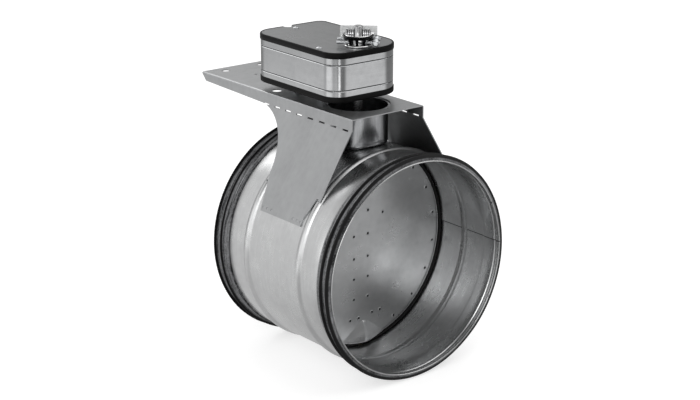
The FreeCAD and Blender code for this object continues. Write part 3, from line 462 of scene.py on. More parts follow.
# Round relief holes are punched where the leg steps in to the tongue, so that it doesn't tear.
leg_length = 82.6 * mm
reliefs = []
for side in (-1, 1):
    spot = Vector((plate_half_width, 0, splay_z)) + leg_down * leg_length
    out = (side * leg_normal.x, 0, leg_normal.z)
    for y in (46.0, -46.8):
        reliefs.append(((side * spot.x, y * mm, spot.z), out, 0.6, 3))
# Each hole is drawn as a collar round a disc of painted shade.
clinch_marks("leg_relief_holes", reliefs, bracket_zinc, "frame")

# Pierced lances round the plate's opening hold the cup's flange from above.
lance_ring_r = 40.8 * mm
lances = []
for degrees in (203.5, 229.0, 256.0, 285.0, 20.0, 60.0, 110.0, 160.0):
    t = radians(degrees)
    spot = (lance_ring_r * cos(t), lance_ring_r * sin(t), plate_top_z)
    lances.append((spot, (0, 0, 1), 0.5, 3))
# Each lance is drawn as a collar round a disc of painted shade.
clinch_marks("cup_flange_clinches", lances, bracket_zinc, "frame")

# Cup: deep-drawn from 1 mm galvanised sheet. It keeps the insulation off the spindle and
# carries the plate. Drawing leaves upright lines on its wall.
# Its zinc is darker than the casing's as painted shade, because the cup stands in shade between the
# legs.
shaded_cup_zinc = galvanised_sheet("shaded_drawn_cup_sheet", "#86878a", "#9fa0a1", 0.22, (300, 300, 14),
                            0.6, 0.3 * mm)[0]
dress("spindle_cup", shaded_cup_zinc)
cup_r, cup_corner = 34 * mm, 5 * mm
cup_wall = 1.0 * mm
cup_top = plate_top_z - 1.2 * mm
cup_steps = 96


def on_saddle(x):
    """Height of the casing's outside at a distance from its middle plane."""
    return sqrt(spigot_r ** 2 - min(abs(x), spigot_r) ** 2) + 0.4 * mm


# Its foot follows the casing's curve, with a rounded corner.
corner = [radians(a) for a in (90, 70, 50, 30, 10, 0)]
skirt = [(cup_r - cup_corner * (1 - cos(t)), cup_corner * (1 - sin(t))) for t in corner]
skirt = [(cup_r - cup_corner - 3 * mm, 0.0)] + skirt
skirt += [(cup_r, None), (cup_r - cup_wall, None)] + [
    (r - cup_wall * (r > cup_r - cup_corner), rise + cup_wall) for r, rise in skirt[::-1]]
points = []
for r, rise in skirt:
    bent = r > cup_r - cup_corner - 1 * mm
    for x, y in circle(cup_steps):
        foot = on_saddle(cup_r * x if bent else r * x)
        points.append((r * x, r * y, cup_top if rise is None else foot + rise))
faces = bands(len(skirt), cup_steps, wrap=True)
cup_skirt = make_piece("cup_saddle_skirt", points, faces, shaded_cup_zinc, "frame", 40)


# Bushes, saddles and nuts: sintered bronze bushes screwed through welded bosses and locked by
# plated nuts.
def plain_metal(name, dark, light, roughness):
    """Turned or pressed metal with a fine tool grain."""
    material, tree, shader, place = new_material(name)
    grain = add(tree, "ShaderNodeTexNoise", {},
                {"Vector": place, "Scale": 1 / (0.9 * mm), "Detail": 4.0})
    colour = add(tree, "ShaderNodeValToRGB", {"stops": [(0.3, dark), (0.7, light)]}, {0: grain})
    satin = add(tree, "ShaderNodeMapRange", {},
                {"Value": grain, "To Min": roughness - 0.06, "To Max": roughness + 0.06})
    bump = add(tree, "ShaderNodeBump", {}, {"Strength": 0.12, "Distance": 0.1 * mm, "Height": grain})
    fill(tree, shader, {"Metallic": 1.0, "Base Color": colour, "Roughness": satin, "Normal": bump})
    return material


bronze = plain_metal("sintered_bronze", "#7d6d55", "#97866a", 0.42)
zinc_plate = plain_metal("bright_zinc_plate", "#c2c4c6", "#d4d6d8", 0.26)
turned_steel = plain_metal("turned_spindle_steel", "#a3a3a4", "#bcbcbd", 0.26)
for name in ("upper_bush", "lower_bush"):
    dress(name, bronze)
for name in ("upper_saddle", "lower_saddle", "support_sleeves", "support_bolts"):
    dress(name, zinc_plate)
for name in ("pivot_pin", "output_hub", "gear_axles"):
    dress(name, turned_steel)

# Blade: two discs of galvanised sheet clinched together over two rails, each with a bulge
# pressed out over the stubs. The clinches stand in a ring near the rim and in two columns.
blade_zinc = galvanised_sheet("galvanised_blade_sheet", "#adaeaf", "#bebfc0", 0.3, (22, 22, 150),
                              0.2, 0.8 * mm)[0]
for name in ("blade_rear_disc", "blade_rails"):
    dress(name, blade_zinc)
disc_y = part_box("blade_rails")[1].y + 1.2 * mm
ring_r = 112.2
ring_spots = [(ring_r * sin(radians(9 + 18 * k)), ring_r * cos(radians(9 + 18 * k)))
              for k in range(20)]
column_spots = [(side * 10.1 + shift, z) for side, shift in ((-1, 0.0), (1, 0.6))
                for z in (66.0, 40.9, 12.4, -15.3, -40.4, -65.5)]
loose_spots = [(-15.6, -90.7), (-2.9, -90.4), (17.3, -87.5), (29.4, -87.0), (33.0, 34.0)]
bulge_crease_x = 3.5 * mm
bulge_depth = 6.0 * mm
bulge_from, bulge_to = 94.5 * mm, 118.0 * mm


def bulge_rise(x, z):
    """How far the front disc stands out over a stub: two flanks that meet in a crease and flare."""
    along = abs(z) - bulge_from
    if along <= 0:
        return 0.0
    fresh = sqrt(min(along / (2 * mm), 1.0))
    flare = 1.39 if x < bulge_crease_x else 1.2
    half = (4.1 * mm if x < bulge_crease_x else 8.0 * mm) * fresh + flare * max(along - 2 * mm, 0.0)
    across = abs(x - bulge_crease_x) / half
    share = 1 - min(along / (bulge_to - bulge_from), 1.0)
    height = bulge_depth * (1 - share ** 2)
    near_crease = 0.03
    flank = 1 - max(across, near_crease) if across < 1 else 0.0
    return height * flank


disc_r = 120.0 * mm
disc_front = -disc_y
disc_sheet = 1.2 * mm
rings = [0.5 * mm, 30 * mm, 60 * mm, 85 * mm]
rings += [92.0 * mm + k * 0.8 * mm for k in range(34)] + [119.4 * mm, disc_r]
turns = []
for centre in (90, 270):
    turns += [centre - 17 + 0.5 * k for k in range(69)]
    turns += [centre + 17 + 4 * k for k in range(1, 36) if 17 + 4 * k < 163]
points = []
for face_y in (disc_front, disc_front + disc_sheet):
    for r in rings:
        for degrees in turns:
            x, z = r * cos(radians(degrees)), r * sin(radians(degrees))
            points.append((x, face_y - bulge_rise(x, z), z))
count, per_side = len(turns), len(turns) * len(rings)
faces = bands(len(rings), count)
faces += [tuple(per_side + corner for corner in quad[::-1]) for quad in faces]
last = per_side - count
for i in range(count):
    j = (i + 1) % count
    faces.append((last + i, last + j, per_side + last + j, per_side + last + i))
faces += [tuple(range(count))[::-1], tuple(range(per_side, per_side + count))]
front_disc = make_piece("pressed_front_disc", points, faces, blade_zinc, "blade", 12)
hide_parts("blade_front_disc")

# The front disc's rim is rolled back in a thin bright bead that grips the gasket.
rim_bead = [(0.45 * mm * cos(t) + disc_front, disc_r - 0.35 * mm + 0.45 * mm * sin(t))
            for t in [radians(30 * k) for k in range(12)]]


def over_bulge(along, radius, angle):
    """Carries the rim's bead over the bulges."""
    return along - bulge_rise(radius * cos(angle), radius * sin(angle)), radius


rim_turns = [radians(degrees) for degrees in turns]
points, faces = turned(rim_bead, rim_turns, over_bulge)
rim_roll = make_piece("disc_rim_bead", points, faces, blade_zinc, "blade")
# Each clinch's pit is painted shade.
for face_side, label in ((-1, "front"), (1, "rear")):
    spots = []
    for x, z in ring_spots + column_spots + loose_spots:
        if abs(x) > 30 or abs(z) < 93:
            spots.append(((x * mm, face_side * disc_y, z * mm), (0, face_side, 0), 0.95, 3))
    clinch_marks("blade_clinches_" + label, spots, blade_zinc, "blade")

# Blade gasket: a moulded EPDM ring whose web is gripped between the discs. Its bead is rounded
# where it wipes the wall, and gaps let the stubs through.
gasket_rubber = epdm_rubber("blade_gasket_rubber", "#030303", "#111112", (20, 300, 20), (0.5, 0.95))[0]
lip_r = 120.2 * mm
bead_r = 123.2 * mm
half_bead = 8.0 * mm
half_web = 3.5 * mm
bead_round = 1.4 * mm
gasket_line = [(-half_web, 104 * mm), (-half_web, lip_r), (-half_bead + 0.5 * mm, lip_r)]
gasket_line += [(-half_bead, lip_r + 0.5 * mm)]
for sign in (-1, 1):
    for k in range(5):
        t = radians(90 * k / 4)
        if sign > 0:
            t = pi / 2 - t
        gasket_line.append((sign * (half_bead - bead_round * (1 - cos(t))),
                            bead_r - bead_round * (1 - sin(t))))
gasket_line += [(half_bead, lip_r + 0.5 * mm), (half_bead - 0.5 * mm, lip_r), (half_web, lip_r),
                (half_web, 104 * mm)]
points, faces = turned(gasket_line[::-1], even_turns(240))
gasket = make_piece("blade_seal_ring", points, faces, gasket_rubber, "blade", 50)
nose_gap = 6.8 * mm
past_rim = 130 * mm
steps = 32
ends = [(nose_gap * x, nose_gap * y, z) for z in (-past_rim, past_rim) for x, y in circle(steps)]
caps = [tuple(range(steps))[::-1], tuple(range(steps, 2 * steps))]
cutter_mesh = bpy.data.meshes.new("stub_gap")
cutter_mesh.from_pydata(ends, [], caps + bands(2, steps))
cutter = new_object("stub_gap", cutter_mesh)
bored = gasket.modifiers.new("stub_gap", "BOOLEAN")
bored.object = cutter
bored.operation = "DIFFERENCE"
bored.solver = "EXACT"
bpy.context.view_layer.update()
baked = bpy.data.meshes.new_from_object(gasket.evaluated_get(bpy.context.evaluated_depsgraph_get()))
gasket.modifiers.remove(bored)
gasket.data = baked
bpy.data.objects.remove(cutter)
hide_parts("blade_gasket")

# Actuator housing: a tub deep-drawn from zinc-coated sheet, satin, with two rolled grooves, and
# a pressed cover and gear plate of duller sheet.
housing_zinc, tree, shader, broad = galvanised_sheet("zinc_housing_sheet", "#a0a1a2", "#acadae", 0.16,
                                                     (18, 18, 260), 0.3, 0.2 * mm)
place = add(tree, "ShaderNodeTexCoord", {}, {}).outputs["Object"]
height = add(tree, "ShaderNodeSeparateXYZ", {}, {0: place}).outputs["Z"]
groove_zs = [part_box("upper_band")[1].z - drop for drop in (14.4 * mm, 43.4 * mm)]
bumped = broad
for level in groove_zs:
    away = add(tree, "ShaderNodeMath", {"operation": "SUBTRACT"}, {0: height, 1: level})
    near = add(tree, "ShaderNodeMath", {"operation": "ABSOLUTE"}, {0: away})
    dip = add(tree, "ShaderNodeMapRange", {"interpolation_type": "SMOOTHSTEP"},
              {"Value": near, "From Max": 1.1 * mm})
    bumped = add(tree, "ShaderNodeBump", {},
                 {"Strength": 1.0, "Distance": 0.9 * mm, "Height": dip, "Normal": bumped})
fill(tree, shader, {"Normal": bumped})
cover_zinc = galvanised_sheet("zinc_cover_sheet", "#7d7e7f", "#878889", 0.3, (180, 18, 18),
                              0.3, 0.15 * mm)[0]
dress("actuator_housing", housing_zinc)
dress("top_cover", cover_zinc)
dress("gear_plate", cover_zinc)

# Edge bands: extruded rubber channel pushed over the tub's foot and the cover's rim. The upper
# one stops each side of the cover's recess.
act_turn = radians(-0.9)
act_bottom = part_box("lower_band")[0].z
act_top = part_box("upper_band")[1].z
act_half_width = 50.8 * mm
act_front = -22.0 * mm
act_rear = 135.0 * mm
corner_radii = {"front_left": 20.5 * mm, "front_right": 34.0 * mm, "rear_right": 10.0 * mm,
                "rear_left": 25.0 * mm}
band_height = 6.8 * mm
band_proud = 0.8 * mm
band_round = 1.3 * mm
recess_half = 7.2 * mm


def on_actuator(x, y, z):
    """Where a point of the actuator's own frame lies, as the actuator sits a little askew."""
    ahead, aside = cos(act_turn), sin(act_turn)
    return (x * ahead - y * aside, x * aside + y * ahead, z)


def case_outline():
    """Points and outward directions round the tub, from the middle of its rear edge."""
    steps = 12
    w = act_half_width
    corners = [(-w, act_rear, corner_radii["rear_left"], 90),
               (-w, act_front, corner_radii["front_left"], 180),
               (w, act_front, corner_radii["front_right"], 270),
               (w, act_rear, corner_radii["rear_right"], 0)]
    line = []
    for x, y, r, start in corners:
        cx = x - copysign(r, x)
        cy = y + r if y < 0 else y - r
        for k in range(steps + 1):
            t = radians(start + 90 * k / steps)
            line.append((cx + r * cos(t), cy + r * sin(t), cos(t), sin(t)))
    return line


def swept_band(name, section, closed):
    """Sweeps a section of (outward, height) pairs round the tub, open at the recess or not."""
    line = case_outline()
    if not closed:
        line = [(-recess_half, act_rear, 0.0, 1.0)] + line + [(recess_half, act_rear, 0.0, 1.0)]
    points = []
    for x, y, dx, dy in line:
        points += [on_actuator(x + out * dx, y + out * dy, z) for out, z in section]
    count = len(section)
    faces = [quad[::-1] for quad in bands(len(line), count, wrap=closed)]
    if not closed:
        faces += [tuple(range(count)), tuple(range(len(points) - count, len(points)))[::-1]]
    piece = make_piece(name, points, faces, band_rubber, "frame", 45)
    return piece


def rounded_channel(edge_z, foot_z, lap, towards):
    """Section of a band: a rounded outer corner, and a short lap over the metal's edge."""
    arc = []
    for k in range(6):
        t = radians(90 * k / 5)
        arc.append((band_proud - band_round * (1 - cos(t)),
                    edge_z - towards * band_round * (1 - sin(t))))
    lip = [(-lap + 0.3 * mm, edge_z), (-lap, edge_z - towards * 0.3 * mm),
           (-lap, edge_z - towards * 0.9 * mm)]
    hidden = [(0.02 * mm, edge_z - towards * 0.9 * mm), (0.02 * mm, foot_z)]
    shoulder = [(band_proud - 0.3 * mm, foot_z), (band_proud, foot_z + towards * 0.3 * mm)]
    return arc + lip + hidden + shoulder


band_rubber = epdm_rubber("edge_band_rubber", "#020202", "#0a0a0b", (14, 14, 300), (0.5, 0.95), 0.12)[0]
upper_section = rounded_channel(act_top, act_top - band_height, 1.6 * mm, 1)
lower_section = rounded_channel(act_bottom, act_bottom + band_height, 3.0 * mm, -1)[::-1]
upper = swept_band("upper_band_rubber", upper_section, False)
lower = swept_band("lower_band_rubber", lower_section, True)
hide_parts("upper_band")
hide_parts("lower_band")


# Cover screws: pan-head steel screws with a cross recess, zinc plated. Two hold the cover's sides
# and one its rear.
head_r, head_height, head_edge = 3.6 * mm, 1.6 * mm, 0.25 * mm
shank_r, shank_length = 1.9 * mm, 9 * mm


def pan_head_screw(name, centre):
    """A domed head with a pressed cross, over a plain shank."""
    steps = 48
    rings = [(shank_r, -shank_length), (shank_r, 0.0), (head_r - 0.2 * mm, 0.0), (head_r, head_edge)]
    for t in [radians(a) for a in (20, 40, 55, 65, 72, 78, 84)]:
        rings.append((head_r * cos(t), head_edge + (head_height - head_edge) * sin(t)))
    points = []
    cx, cy, cz = centre
    for r, z in rings:
        for t in even_turns(steps):
            arm = abs(sin(2 * (t + 0.4))) < 0.42
            sink = 0.9 * mm if z > 0.3 * mm and arm and r < 0.62 * head_r else 0.0
            points.append((cx + r * cos(t), cy + r * sin(t), cz + z - sink))
    last = len(points) - steps
    points.append((cx, cy, cz + 0.15 * mm))
    faces = bands(len(rings), steps) + [tuple(range(steps))[::-1]]
    faces += [(last + i, last + (i + 1) % steps, len(points) - 1) for i in range(steps)]
    return make_piece(name, points, faces, zinc_plate, "frame", 40)


cover_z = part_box("top_cover")[1].z
for name, x, y in (("cover_screw_left", -42.5, 16.5), ("cover_screw_right", 42.5, 16.5),
                   ("cover_screw_rear", 0.0, 118.0)):
    pan_head_screw(name, on_actuator(x * mm, y * mm, cover_z))
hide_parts("cover_screws")

# Cable gland: moulded black nylon with a fine etched skin, screwed into the housing's rear face.
# There is no lead in it.
nylon, tree, shader, place = new_material("moulded_black_nylon")
etch = add(tree, "ShaderNodeTexNoise", {}, {"Vector": place, "Scale": 1 / (0.4 * mm), "Detail": 2.0})
tint = add(tree, "ShaderNodeValToRGB", {"stops": [(0.3, "#121213"), (0.8, "#242425")]}, {0: etch})
bump = add(tree, "ShaderNodeBump", {}, {"Strength": 0.2, "Distance": 0.05 * mm, "Height": etch})
fill(tree, shader, {"Base Color": tint, "Normal": bump, "Roughness": 0.42})
dress("cable_gland", nylon)

# Drive inside the housing: sintered and brass gears on steel axles, a spring strip, a small
# motor and its board. The closed housing hides them.
sintered = plain_metal("oiled_sintered_steel", "#6f6c68", "#8a8782", 0.45)
brass = plain_metal("machined_brass", "#b59555", "#cdb070", 0.3)
blued = plain_metal("blued_spring_strip", "#2c3038", "#434854", 0.35)
for name, metal in (("sector_gear", sintered), ("second_gear", sintered), ("first_gear", brass),
                    ("motor_pinion", brass), ("return_spring", blued), ("motor", zinc_plate)):
    dress(name, metal)
solder_mask, tree, shader, place = new_material("green_solder_mask")
tracks = add(tree, "ShaderNodeTexVoronoi", {"distance": "MANHATTAN"},
             {"Vector": place, "Scale": 1 / (4 * mm)})
copper = add(tree, "ShaderNodeValToRGB", {"stops": [(0.35, "#1f5a38"), (0.45, "#123d25")]}, {0: tracks})
fill(tree, shader, {"Base Color": copper, "Roughness": 0.3})
dress("circuit_board", solder_mask)

# Spindle: a turned steel bar, flattened where the discs clinch over it and chamfered at the
# top, with the centre hole left by the lathe.
spindle_r = 5.0 * mm
spindle_foot, spindle_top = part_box("drive_spindle")[0].z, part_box("drive_spindle")[1].z
round_from = 103.0 * mm
half_flat = 3.5 * mm
chamfer = 0.7 * mm
steps = 40
bar = [(0.0, spindle_foot), (spindle_r, spindle_foot), (spindle_r, round_from),
       (spindle_r, round_from + 0.01 * mm)]
bar += [(spindle_r, z * mm) for z in (125, 160, 200, 235)]
bar += [(spindle_r, spindle_top - chamfer), (spindle_r - chamfer, spindle_top), (1.6 * mm, spindle_top),
        (0.9 * mm, spindle_top - 1.0 * mm), (0.0, spindle_top - 1.4 * mm)]
points = []
for r, z in bar:
    limit = half_flat if z <= round_from else spindle_r
    points += [(r * x, min(max(r * y, -limit), limit), z) for x, y in circle(steps)]
faces = bands(len(bar), steps)
spindle = make_piece("turned_spindle", points, faces, turned_steel, "blade", 35)
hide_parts("drive_spindle")


# Clamp: a bright ring, a flared crown, a pressed plate and two serrated jaws, drawn together
# by two cross bolts. It turns with the spindle, and a clear plate behind shows its position.
def chamfered_nut(name, place, axis, flats, height, bore_r, body):
    """A plated hexagon nut with turned chamfers and a countersunk bore."""
    out = Vector(axis).normalized()
    aside = out.orthogonal().normalized()
    along = out.cross(aside)
    steps = 48
    six = radians(60)
    skim = 0.5 * flats
    slope = 0.14 * flats
    wide = bore_r + 0.35 * mm
    rings = [(wide, 0.0, False), (skim * 0.96, 0.0, False), (0.0, slope, True),
             (0.0, height - slope, True), (skim * 0.96, height, False), (wide, height, False),
             (bore_r, height - 0.4 * mm, False), (bore_r, 0.4 * mm, False)]
    points = []
    for r, level, is_hex in rings:
        for t in even_turns(steps):
            reach = skim / cos((t % six) - six / 2) if is_hex else r
            points.append(Vector(place) + (aside * cos(t) + along * sin(t)) * reach
                          + out * level)
    faces = bands(len(rings), steps, wrap=True)
    piece = make_piece(name, points, faces, zinc_plate, body, 25)
    return piece


clamp_turn = radians(-42.0)
clamp_x = Vector((cos(clamp_turn), sin(clamp_turn), 0))
clamp_y = Vector((-sin(clamp_turn), cos(clamp_turn), 0))
bolt_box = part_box("clamp_bolts")
bolt_z = (bolt_box[0].z + bolt_box[1].z) / 2
bolt_r = 2.0 * mm
thread_pitch = 0.7 * mm
thread_depth = 0.22 * mm
bolt_left, bolt_right = -24.0 * mm, 24.3 * mm
bolt_offset = 9.0 * mm
steps = 20
points, faces = [], []
for side in (-1, 1):
    axis_point = clamp_y * (side * bolt_offset) + Vector((0, 0, bolt_z))
    count = int((bolt_right - bolt_left) / thread_pitch)
    stations = [(bolt_left, 0.0), (bolt_left, bolt_r - 0.5 * mm), (bolt_left + 0.4 * mm, bolt_r)]
    for k in range(1, count - 1):
        stations += [(bolt_left + k * thread_pitch, bolt_r),
                     (bolt_left + (k + 0.5) * thread_pitch, bolt_r - thread_depth)]
    stations += [(bolt_right - 0.4 * mm, bolt_r), (bolt_right, bolt_r - 0.5 * mm), (bolt_right, 0.0)]
    first = len(points)
    for along, r in stations:
        spot = axis_point + clamp_x * along
        points += [spot + clamp_y * (r * x) + Vector((0, 0, r * y)) for x, y in circle(steps)]
    faces += bands(len(stations), steps, first)
studs = make_piece("threaded_cross_bolts", points, faces, zinc_plate, "blade", 60)
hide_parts("clamp_bolts")
for side, name in ((-1, "front"), (1, "rear")):
    seat = clamp_x * (17.3 * mm) + clamp_y * (side * bolt_offset) + Vector((0, 0, bolt_z))
    chamfered_nut("cross_bolt_nut_" + name, seat, clamp_x, 7.6 * mm, 5 * mm, bolt_r,
                              "blade")
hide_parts("clamp_nuts")
for name, sign in (("upper_bush_nut", 1), ("lower_bush_nut", -1)):
    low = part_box(name)[0].z if sign > 0 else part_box(name)[1].z
    nut = chamfered_nut("chamfered_" + name, (0, 0, low), (0, 0, sign), 26 * mm, 3.5 * mm, 9.0 * mm,
                        "frame")
    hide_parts(name)

bright_plate = plain_metal("bright_clamp_plate", "#dadada", "#efefef", 0.13)
dark_plate = plain_metal("blackened_clamp_steel", "#0e0e0f", "#1e1e20", 0.3)
jaw_steel = plain_metal("toothed_jaw_steel", "#b4b4b6", "#cfcfd1", 0.2)


def turned_upright(name, profile, metal, steps=64):
    """A closed profile of (radius, height) pairs turned about the spindle's axis."""
    points = [(r * x, r * y, z) for r, z in profile for x, y in circle(steps)]
    faces = bands(len(profile), steps, wrap=True)
    piece = make_piece(name, points, faces, metal, "blade", 30)
    return piece


ring_low, ring_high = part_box("clamp_ring")[0].z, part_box("clamp_ring")[1].z
ring_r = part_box("clamp_ring")[1].x
crown_low, crown_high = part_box("clamp_crown")[0].z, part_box("clamp_crown")[1].z
plate_low, plate_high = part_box("clamp_plate")[0].z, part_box("clamp_plate")[1].z
plate_r = 15.4 * mm
bore_r = spindle_r + 0.1 * mm
ring_foot_r = bore_r + 6 * mm
ring = turned_upright("rolled_clamp_ring", [
    (ring_foot_r, ring_low), (ring_r - 0.7 * mm, ring_low), (ring_r - 0.5 * mm, ring_low + 0.35 * mm),
    (ring_r, ring_low + 0.6 * mm), (ring_r, ring_high - 0.5 * mm), (ring_r - 0.5 * mm, ring_high),
    (ring_r - 1.3 * mm, ring_high), (ring_r - 2.0 * mm, ring_high - 0.8 * mm),
    (ring_foot_r, ring_high - 0.8 * mm)], bright_plate, 96)
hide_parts("clamp_ring")
dish = turned_upright("clamp_dish", [
    (bore_r, plate_low), (plate_r - 4.5 * mm, plate_low - 0.6 * mm),
    (plate_r - 0.6 * mm, plate_high - 0.9 * mm), (plate_r, plate_high - 0.4 * mm),
    (plate_r - 0.4 * mm, plate_high), (plate_r - 1.6 * mm, plate_high),
    (bore_r, plate_high - 0.5 * mm)], bright_plate, 96)
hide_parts("clamp_plate")
turned_upright("crown_core", [
    (bore_r, crown_low), (12.2 * mm, crown_low), (13.2 * mm, crown_low + 3 * mm),
    (13.6 * mm, crown_high - 0.5 * mm), (bore_r, crown_high - 0.5 * mm)], bright_plate)

# The crown's upper edge is a plain flared band, and slats come down from it to the ring.
slat_count = 12
slat_share = 0.42
crown_foot_r, crown_top_r, crown_wall = 14.4 * mm, 17.6 * mm, 1.3 * mm
band_from = 0.72
points, faces = [], []


def crown_block(from_turn, to_turn, low_share, high_share, steps):
    """One block of the flared shell between two turns and two shares of its height."""
    first = len(points)
    for k in range(steps + 1):
        t = from_turn + (to_turn - from_turn) * k / steps
        for share, inset in ((low_share, 0.0), (high_share, 0.0), (high_share, crown_wall),
                             (low_share, crown_wall)):
            r = crown_foot_r + (crown_top_r - crown_foot_r) * share - inset
            z = crown_low + (crown_high - crown_low) * share
            points.append((r * cos(t), r * sin(t), z))
    faces.extend(quad[::-1] for quad in bands(steps + 1, 4, first))
    faces.append((first, first + 1, first + 2, first + 3))
    end = first + 4 * steps
    faces.append((end + 3, end + 2, end + 1, end))


for k in range(slat_count):
    turn = 2 * pi * (k + 0.5) / slat_count
    half = pi / slat_count
    crown_block(turn - half * slat_share, turn + half * slat_share, 0.0, band_from, 3)
    crown_block(turn - half, turn + half, band_from, 1.0, 4)
crown = make_piece("slatted_crown", points, faces, dark_plate, "blade", 25)
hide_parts("clamp_crown")

# Two toothed jaws stand on the dish and bite on the spindle from both sides.
jaw_low, jaw_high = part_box("clamp_jaws")[0].z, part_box("clamp_jaws")[1].z
jaw_half_width = 3.0 * mm
tooth_pitch, tooth_width = 2.2 * mm, 1.5 * mm
points, faces, dark = [], [], []


def clamp_box(x0, x1, half_width, low, high, is_dark):
    """A box in the clamp's own frame, whose top leans in at both ends."""
    first = len(points)
    for z, lean in ((low, 0.0), (high, 0.25 * mm)):
        for x, y in ((x0 + lean, -half_width), (x1 - lean, -half_width), (x1 - lean, half_width),
                     (x0 + lean, half_width)):
            points.append(clamp_x * x + clamp_y * y + Vector((0, 0, z)))
    quads = [(3, 2, 1, 0), (4, 5, 6, 7), (0, 1, 5, 4), (1, 2, 6, 5), (2, 3, 7, 6), (3, 0, 4, 7)]
    faces.extend(tuple(first + corner for corner in quad) for quad in quads)
    dark.extend([is_dark] * len(quads))


for side in (-1, 1):
    ends = sorted((side * (spindle_r + 0.1 * mm), side * 13.9 * mm))
    clamp_box(ends[0], ends[1], jaw_half_width - 0.8 * mm, jaw_low, jaw_high - 0.9 * mm, True)
    for k in range(4):
        centre = side * (spindle_r + 1.2 * mm + k * tooth_pitch)
        tooth_top = jaw_high - (0.9 * mm if k % 2 else 0.0)
        clamp_box(centre - tooth_width / 2, centre + tooth_width / 2, jaw_half_width,
                  jaw_low + 0.3 * mm, tooth_top, False)
jaws = make_piece("toothed_jaws", points, faces, jaw_steel, "blade", 0)
part_dress(jaws, dark_plate, dark)
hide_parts("clamp_jaws")

# Position indicator: a clear moulded plate, a little hazy, that stands behind the spindle and
# turns with it.
clear, tree, shader, place = new_material("clear_indicator_plastic")
haze = add(tree, "ShaderNodeTexNoise", {}, {"Vector": place, "Scale": 1 / (3 * mm), "Detail": 3.0})
rough = add(tree, "ShaderNodeMapRange", {}, {"Value": haze, "To Min": 0.02, "To Max": 0.16})
fill(tree, shader, {"Base Color": linear("#fbfcfc"), "Transmission Weight": 0.6, "IOR": 1.3,
                    "Roughness": rough})
dress("position_indicator", clear)

# Floor and backdrop: a sheet of pale card. The camera sees it white with the object's shadow,
# and polished metal sees pools of light on it, each a place, a radius and how bright.
floor_z = min(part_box("front_lip_seal")[0].z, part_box("lower_bush_nut")[0].z) - 1 * mm
card_level = 0.35
pools = [((-0.45, 0.60), 1.05, 0.57), ((-2.20, 2.80), 2.60, 0.65), ((-0.90, 1.15), 0.60, 0.25),
         ((-1.42, 0.05), 0.85, 1.20), ((-1.15, -0.85), 0.45, 0.55), ((-0.68, -1.24), 0.24, 2.8),
         ((0.75, -1.15), 0.85, 0.85), ((-0.55, -0.68), 0.55, 1.00), ((0.22, -0.40), 0.40, 0.25),
         ((0.42, 0.62), 0.75, 0.90)]


def add_up(tree, start, parts):
    """Sum of a start value and several sockets."""
    total = start
    for part in parts:
        total = add(tree, "ShaderNodeMath", {"operation": "ADD"}, {0: part, 1: total})
    return total


card, tree, shader, place = new_material("pale_card")
fill(tree, shader, {"Base Color": linear("#c8c8c8"), "Roughness": 0.9, "Specular IOR Level": 0.0})
lit = []
for (x, y), radius, bright in pools:
    away = add(tree, "ShaderNodeVectorMath", {"operation": "DISTANCE"},
               {0: place, 1: (x, y, floor_z)}).outputs["Value"]
    lit.append(add(tree, "ShaderNodeMapRange", {"interpolation_type": "SMOOTHSTEP"},
                   {"Value": away, "From Min": radius, "From Max": 0.35 * radius, "To Max": bright}))
pooled = add(tree, "ShaderNodeEmission", {}, {"Strength": add_up(tree, card_level, lit)})
seen = add(tree, "ShaderNodeLightPath", {}, {})
lift = add(tree, "ShaderNodeMath", {"operation": "MULTIPLY"},
           {0: seen.outputs["Is Camera Ray"], 1: 0.62})
glow = add(tree, "ShaderNodeEmission", {}, {"Strength": lift})
paper = add(tree, "ShaderNodeAddShader", {}, {0: shader, 1: glow})
both = add(tree, "ShaderNodeMixShader", {}, {0: seen.outputs["Is Glossy Ray"], 1: paper, 2: pooled})
fill(tree, tree.nodes["Material Output"], {"Surface": both})
reach = 6.0
corners = [(-reach, -reach), (reach, -reach), (reach, reach), (-reach, reach)]
mesh = bpy.data.meshes.new("floor")
mesh.from_pydata([(x, y, floor_z) for x, y in corners], [], [(0, 1, 2, 3)])
mesh.materials.append(card)
floor = new_object("floor", mesh)

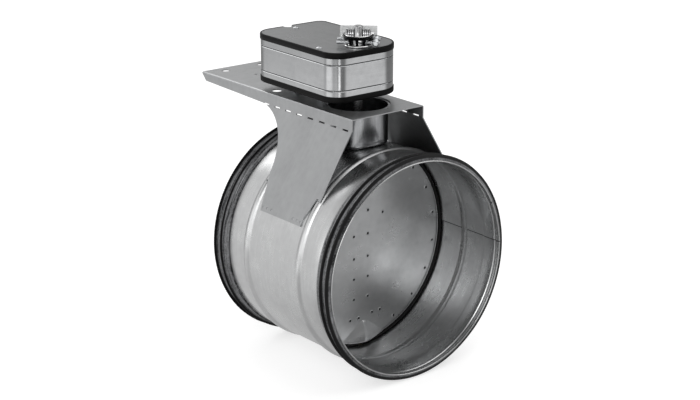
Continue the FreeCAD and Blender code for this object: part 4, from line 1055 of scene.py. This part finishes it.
# Studio: white to the camera and through clear plastic, and elsewhere a dim room with a few
# broad soft panels, each a direction, its outer and inner half angles, and how bright.
room_level = 0.26
panels = [((-0.60, 0.75, 0.20), 55, 15, 0.75), ((0.62, 0.72, 0.31), 38, 10, 0.28),
          ((-0.68, -0.71, 0.10), 42, 14, 1.00), ((0.35, -0.15, 0.92), 38, 10, 1.30),
          ((-0.98, 0.05, 0.14), 34, 12, 1.10)]
world = bpy.data.worlds.new("studio")
bpy.context.scene.world = world
world.use_nodes = True
tree = world.node_tree
sky = tree.nodes["Background"]
toward = add(tree, "ShaderNodeTexCoord", {}, {}).outputs["Generated"]
lit = []
for direction, outer, inner, bright in panels:
    facing = add(tree, "ShaderNodeVectorMath", {"operation": "DOT_PRODUCT"},
                 {0: toward, 1: Vector(direction).normalized()}).outputs["Value"]
    lit.append(add(tree, "ShaderNodeMapRange", {"interpolation_type": "SMOOTHSTEP"},
                   {"Value": facing, "From Min": cos(radians(outer)),
                    "From Max": cos(radians(inner)), "To Max": bright}))
seen = add(tree, "ShaderNodeLightPath", {}, {})
through = add(tree, "ShaderNodeMath", {"operation": "MAXIMUM"},
              {0: seen.outputs["Is Camera Ray"], 1: seen.outputs["Is Transmission Ray"]})
level = add(tree, "ShaderNodeMapRange", {},
            {"Value": through, "To Min": add_up(tree, room_level, lit)})
fill(tree, sky, {"Color": (1, 1, 1, 1), "Strength": level})


def softbox(name, place, aim, size, watts):
    """A square area lamp that faces a point."""
    lamp = bpy.data.lights.new(name, "AREA")
    lamp.energy = watts
    lamp.shape = "RECTANGLE"
    lamp.size, lamp.size_y = size
    made = new_object(name, lamp)
    made.location = place
    made.rotation_euler = (Vector(aim) - Vector(place)).to_track_quat("-Z", "Y").to_euler()


softbox("key_softbox", (-1.6, -1.0, 1.3), (0, 0, 0), (1.2, 1.2), 12)
softbox("fill_softbox", (1.5, -1.5, 0.8), (0, 0, 0), (1.0, 1.4), 7)
softbox("rear_softbox", (0.3, 1.6, 1.4), (0, 0, 0.1), (1.6, 0.8), 8)

# Camera: stands where the photograph was taken from, with its centre on the picture's.
photo_width_px = 700
focal_px = 1665.97
azimuth = radians(-38.91)
elevation = radians(17.98)
distance = 1937.4 * mm
sideways = -9.27 * mm
upwards = 51.3 * mm
back = Vector((sin(azimuth) * cos(elevation), -cos(azimuth) * cos(elevation), sin(elevation)))
right = Vector((cos(azimuth), sin(azimuth), 0))
up = back.cross(right)
lens = bpy.data.cameras.new("photo_camera")
lens.sensor_width = 36
lens.lens = focal_px / photo_width_px * lens.sensor_width
lens.clip_start = 0.05
lens.clip_end = 50
camera = new_object("photo_camera", lens)
camera.location = right * sideways + up * upwards + back * distance
camera.rotation_euler = Matrix((right, up, back)).transposed().to_euler()
bpy.context.scene.camera = camera
bpy.context.scene.view_settings.view_transform = "Standard"
